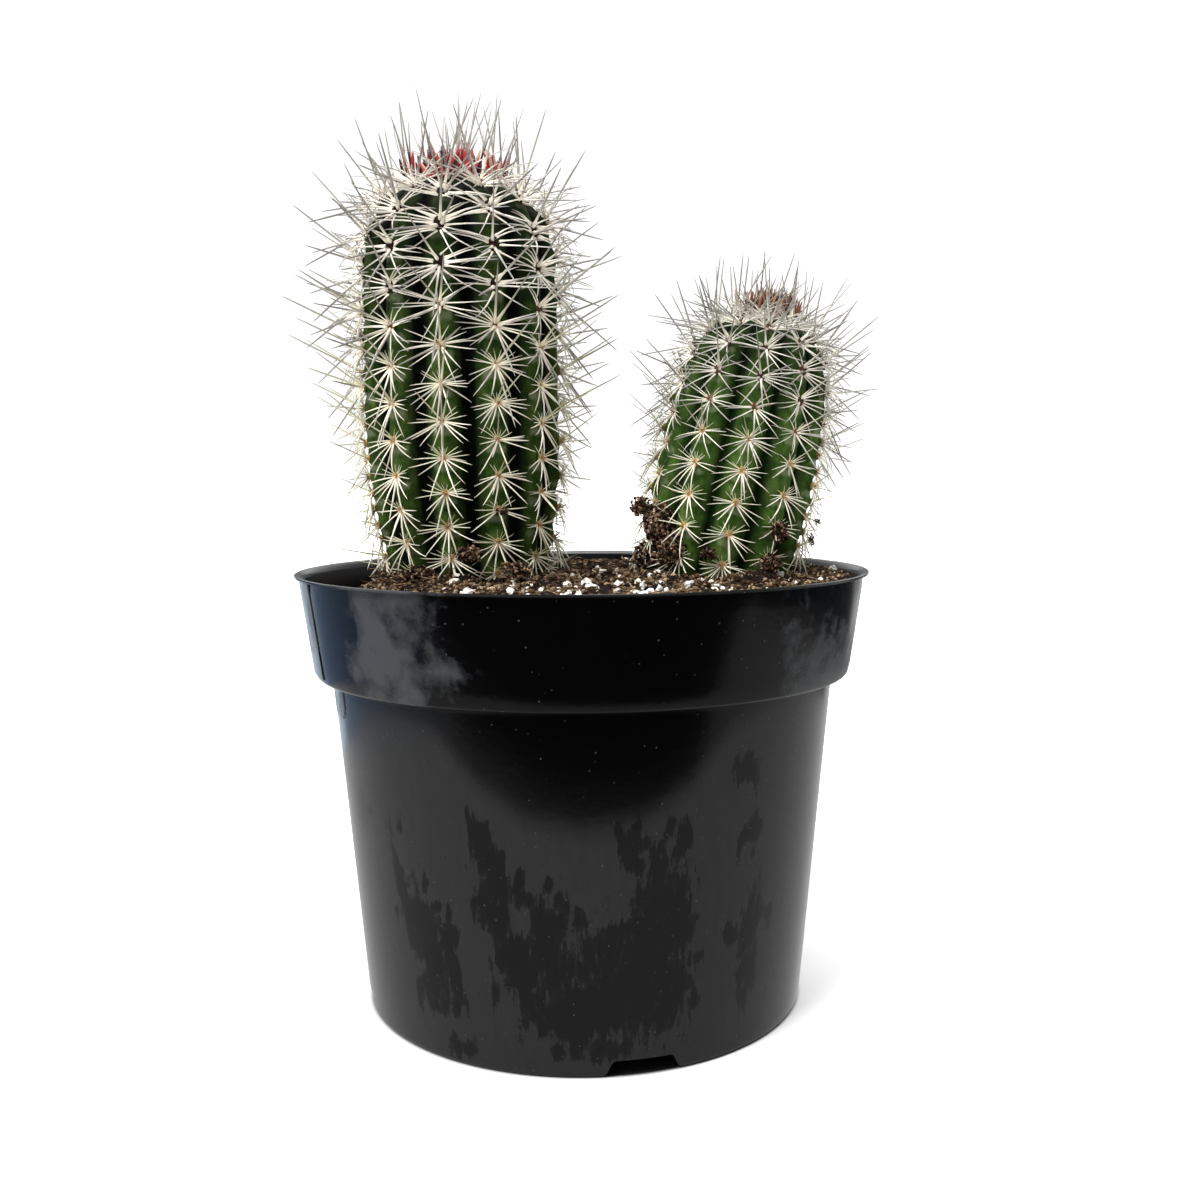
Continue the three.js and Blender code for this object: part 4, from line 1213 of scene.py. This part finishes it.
def make_horn(name, grey, young):
    finish = Finish(name, 0.4, 0.4)
    share, along, shade = (finish.value(key) for key in ("height_share", "along", "shade"))
    colour = share.ramp((0.45, 0.0), (0.75, 1.0)).blend(IVORY, grey)
    central = finish.value("central") * share.ramp((0.2, 0.25), (0.6, 0.75))
    colour = (central * along.ramp((0.08, 0.0), (0.35, 1.0))).blend(colour, DARK_TIP)
    thin = share.ramp((0.3, 0.7), (0.7, 0.2)) - finish.value("low_side")
    colour = thin.blend(colour, YELLOWISH)
    colour = colour.tint(shade.ramp((0.0, (0.66, 0.63, 0.6)), (0.5, 1.0), (1.0, (1.12, 1.1, 1.08))))
    tip = along.ramp((0.25, 0.0), (0.6, 0.5), (1.0, 0.95)) * share.ramp((0.3, 0.3), (0.7, 1.0))
    foot = along.ramp((0.0, 0.7), (0.06, 0.35), (0.13, 0.0)) * share.ramp((0.45, 1.0), (0.7, 0.12))
    colour = foot.blend(tip.blend(colour, DARK_TIP), TAN_FOOT)
    dark, bright, pale, palest = young
    fresh = shade.ramp((0.24, dark), (0.36, bright), (0.66, bright), (0.8, pale), (0.96, palest))
    reach = (finish.value("reach") * 0.05).ramp((0.34, 0.0), (0.48, 0.7), (0.62, 1.0))
    fresh = reach.blend(fresh, PALE_END)
    return finish.wear(Base_Color=finish.value("young").blend(colour, fresh))


def make_wool(name, low, high, crown):
    finish = Finish(name, 0.95, 0.1, 2500.0, 1.0)
    share = finish.value("height_share")
    colour = share.ramp((0.4, 0.0), (0.7, 1.0)).blend(low, high)
    colour = share.ramp((0.93, 0.0), (0.98, 1.0)).blend(colour, crown)
    return finish.wear(Base_Color=colour.tint(finish.value("shade").ramp((0.0, 0.55), (1.0, 1.25))))


TALL_YOUNG = (0.02, 0.003, 0.004), (0.34, 0.02, 0.022), (0.36, 0.1, 0.075), (0.36, 0.29, 0.2)
SHORT_YOUNG = (0.03, 0.012, 0.008), (0.15, 0.05, 0.026), (0.3, 0.17, 0.1), (0.42, 0.35, 0.26)
dress("tall_cactus_spines", make_horn("tall_spine_horn", (0.7, 0.66, 0.58), TALL_YOUNG))
dress("short_cactus_spines", make_horn("short_spine_horn", (0.58, 0.56, 0.49), SHORT_YOUNG))
tall_wool = make_wool("tall_wool", (0.45, 0.25, 0.09), (0.022, 0.009, 0.008), (0.1, 0.012, 0.012))
short_wool = make_wool("short_wool", (0.48, 0.28, 0.1), (0.06, 0.032, 0.022), (0.12, 0.05, 0.025))
dress("tall_cactus_felt tall_cactus_felt_hairs", tall_wool)
dress("short_cactus_felt short_cactus_felt_hairs", short_wool)

# %% [markdown]
# ### Soil and perlite
#
# Moist peat is a dark warm brown with rusty and pale bits in it. Perlite is white and rough.


# %% Mix finishes
def make_soil(name, dark, warm, pale):
    finish = Finish(name, 0.95, 0.08, 1500.0, 0.9)
    cloud = finish.noise(420.0, 8.0, 0.7) + (finish.value("shade") * 0.45 - 0.2)
    return finish.wear(Base_Color=cloud.ramp((0.34, dark), (0.57, warm), (0.8, pale)))


def make_perlite():
    finish = Finish("perlite_white", 0.85, 0.3, 1300.0, 0.9)
    dirty = finish.noise(520.0, 6.0, 0.7)
    stops = (0.34, (0.1, 0.06, 0.035)), (0.43, (0.42, 0.38, 0.33)), (0.52, (0.68, 0.67, 0.63))
    return finish.wear(Base_Color=dirty.ramp(*stops))


peat = make_soil("peat", (0.006, 0.003, 0.002), (0.066, 0.04, 0.02), (0.22, 0.145, 0.08))
bark = make_soil("bark_crumbs", (0.012, 0.006, 0.003), (0.1, 0.06, 0.032), (0.33, 0.25, 0.16))
dirt = make_soil("clinging_dirt", (0.006, 0.003, 0.002), (0.046, 0.025, 0.014), (0.3, 0.2, 0.13))
dress("mix_body", peat)
dress("mix_crumbs mix_fibres", bark)
dress("mix_clods", dirt)
dress("mix_perlite", make_perlite())

# %% [markdown]
# ## The studio
#
# The photograph is a bright one on white, with soft light from all sides and a little more from the
# upper left. The floor is plain and pale. Right under the pot, where no light gets in, its colour falls
# to nearly black over a millimetre or two, so that the drain notch reads as dark as it does there.

# %% Floor
FLOOR_RADIUS, FLOOR_SIDES = 14000.0, 96
SHADE_FROM, SHADE_TO = 0.061, 0.0626  # radii in metres between which the shade under the pot ends
paper = Finish("pale_table", 0.7, 0.1)
x = add_node(paper.tree, "SeparateXYZ", "X", {"Vector": paper.where()})
y = x.output("Y")
lit = (x * x + y * y - SHADE_FROM**2) * (1 / (SHADE_TO**2 - SHADE_FROM**2))
add_piece("floor", round_axis(FLOOR_RADIUS, circle(FLOOR_SIDES), 0.0), [np.arange(FLOOR_SIDES)[None]])
dress("floor", paper.wear(Base_Color=lit.blend(0.01, 0.6)))

# %% [markdown]
# A glossy black pot shows what stands round it. Cards that only mirrored rays see give it that: a bright
# one close by all round, bluish ones at the left, a dim one at the right, and a dark one in front,
# further off, whose near edge draws the dark bow on the wall. They lie just over the floor. One more
# hangs behind at the height of the rim, and dims what the lip mirrors.

# %% Reflection cards
# The dark card's near edge: turn from the front in degrees, left negative, and distance in mm
DARK_EDGE = np.array([
    (-76, 1400), (-70, 760), (-64, 520), (-58, 391), (-53, 318), (-47, 284), (-41, 264), (-17, 216),
    (0, 206), (15, 207), (29, 213), (43, 235), (51, 290), (58, 391), (64, 520), (70, 760), (78, 1400),
])
CARD_REACH, EDGE_STEPS = 3000.0, 72
# Each card: name, first and last turn, nearest distance, height, colour and strength
CARDS = [
    ("table_card", 0, 360, BASE_RADIUS, 0.5, (1, 1, 1), 0.86),
    ("left_card", -132, -58, BASE_RADIUS + 260, 0.8, (0.45, 0.65, 1.0), 0.7),
    ("side_card", -158, -132, BASE_RADIUS + 260, 0.8, (0.75, 0.88, 1.0), 1.3),
    ("right_card", 66, 138, BASE_RADIUS + 360, 0.8, (0.7, 0.85, 1.0), 0.06),
    ("back_card", 60, 300, BASE_RADIUS + 190, 160.0, (0.8, 0.9, 1.0), 0.2),
    ("dark_card", -76, 78, None, 1.1, (0.5, 0.7, 1.0), 0.01),
]


def add_card(name, start, end, near, height, colour, strength):
    """A flat strip over the floor between two distances at each turn, seen by mirrored rays only."""
    turns = np.linspace(start, end, EDGE_STEPS)
    near = np.full(EDGE_STEPS, near) if near else np.interp(turns, *DARK_EDGE.T)
    reach = np.stack([near, np.full(EDGE_STEPS, CARD_REACH)])
    points = round_axis(reach, np.radians(turns), height).reshape(-1, 3)
    card = add_piece(name, points, [grid_faces(2, EDGE_STEPS, closed=False)])
    glow = Finish(name + "_glow", 1.0, 0.0)
    dress(name, glow.wear(Base_Color=0.0, Emission_Color=colour, Emission_Strength=strength))
    for kind in ("camera", "diffuse", "shadow", "transmission", "volume_scatter"):
        setattr(card, "visible_" + kind, False)


for card in CARDS:
    add_card(*card)

# %% Light
BACKDROP, FILL = 1.12, 0.62  # how bright the studio looks, and how much of it fills the shadows
world = bpy.data.worlds.new("studio")
world.use_nodes = True
sky, tree = world.node_tree.nodes["Background"].inputs, world.node_tree
sky["Color"].default_value = (1, 1, 1, 1)
feed(tree, sky["Strength"], add_node(tree, "LightPath", "Is Diffuse Ray") * (FILL - BACKDROP) + BACKDROP)
bpy.context.scene.world = world


def add_sun(name, towards, strength, spread):
    """Parallel light from a wide disc in the sky, which acts as a large softbox far away. It falls on
    the whole floor alike."""
    data = bpy.data.lights.new(name, "SUN")
    data.energy, data.angle = strength, np.radians(spread)
    aim(bpy.data.objects.new(name, data), np.zeros(3), -unit(np.array(towards)))


add_sun("key_softbox", [-800, -700, 1380], 5.8, 30)
add_sun("top_softbox", [300, 300, 1580], 4.8, 44)
bpy.context.scene.view_settings.view_transform = "Standard"
print("lights:", [light.name for light in bpy.data.lights])

# %% Finish
sizes = {"cad": [list(corner) for corner in cad_bounds], "visual": [list(corner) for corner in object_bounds()]}
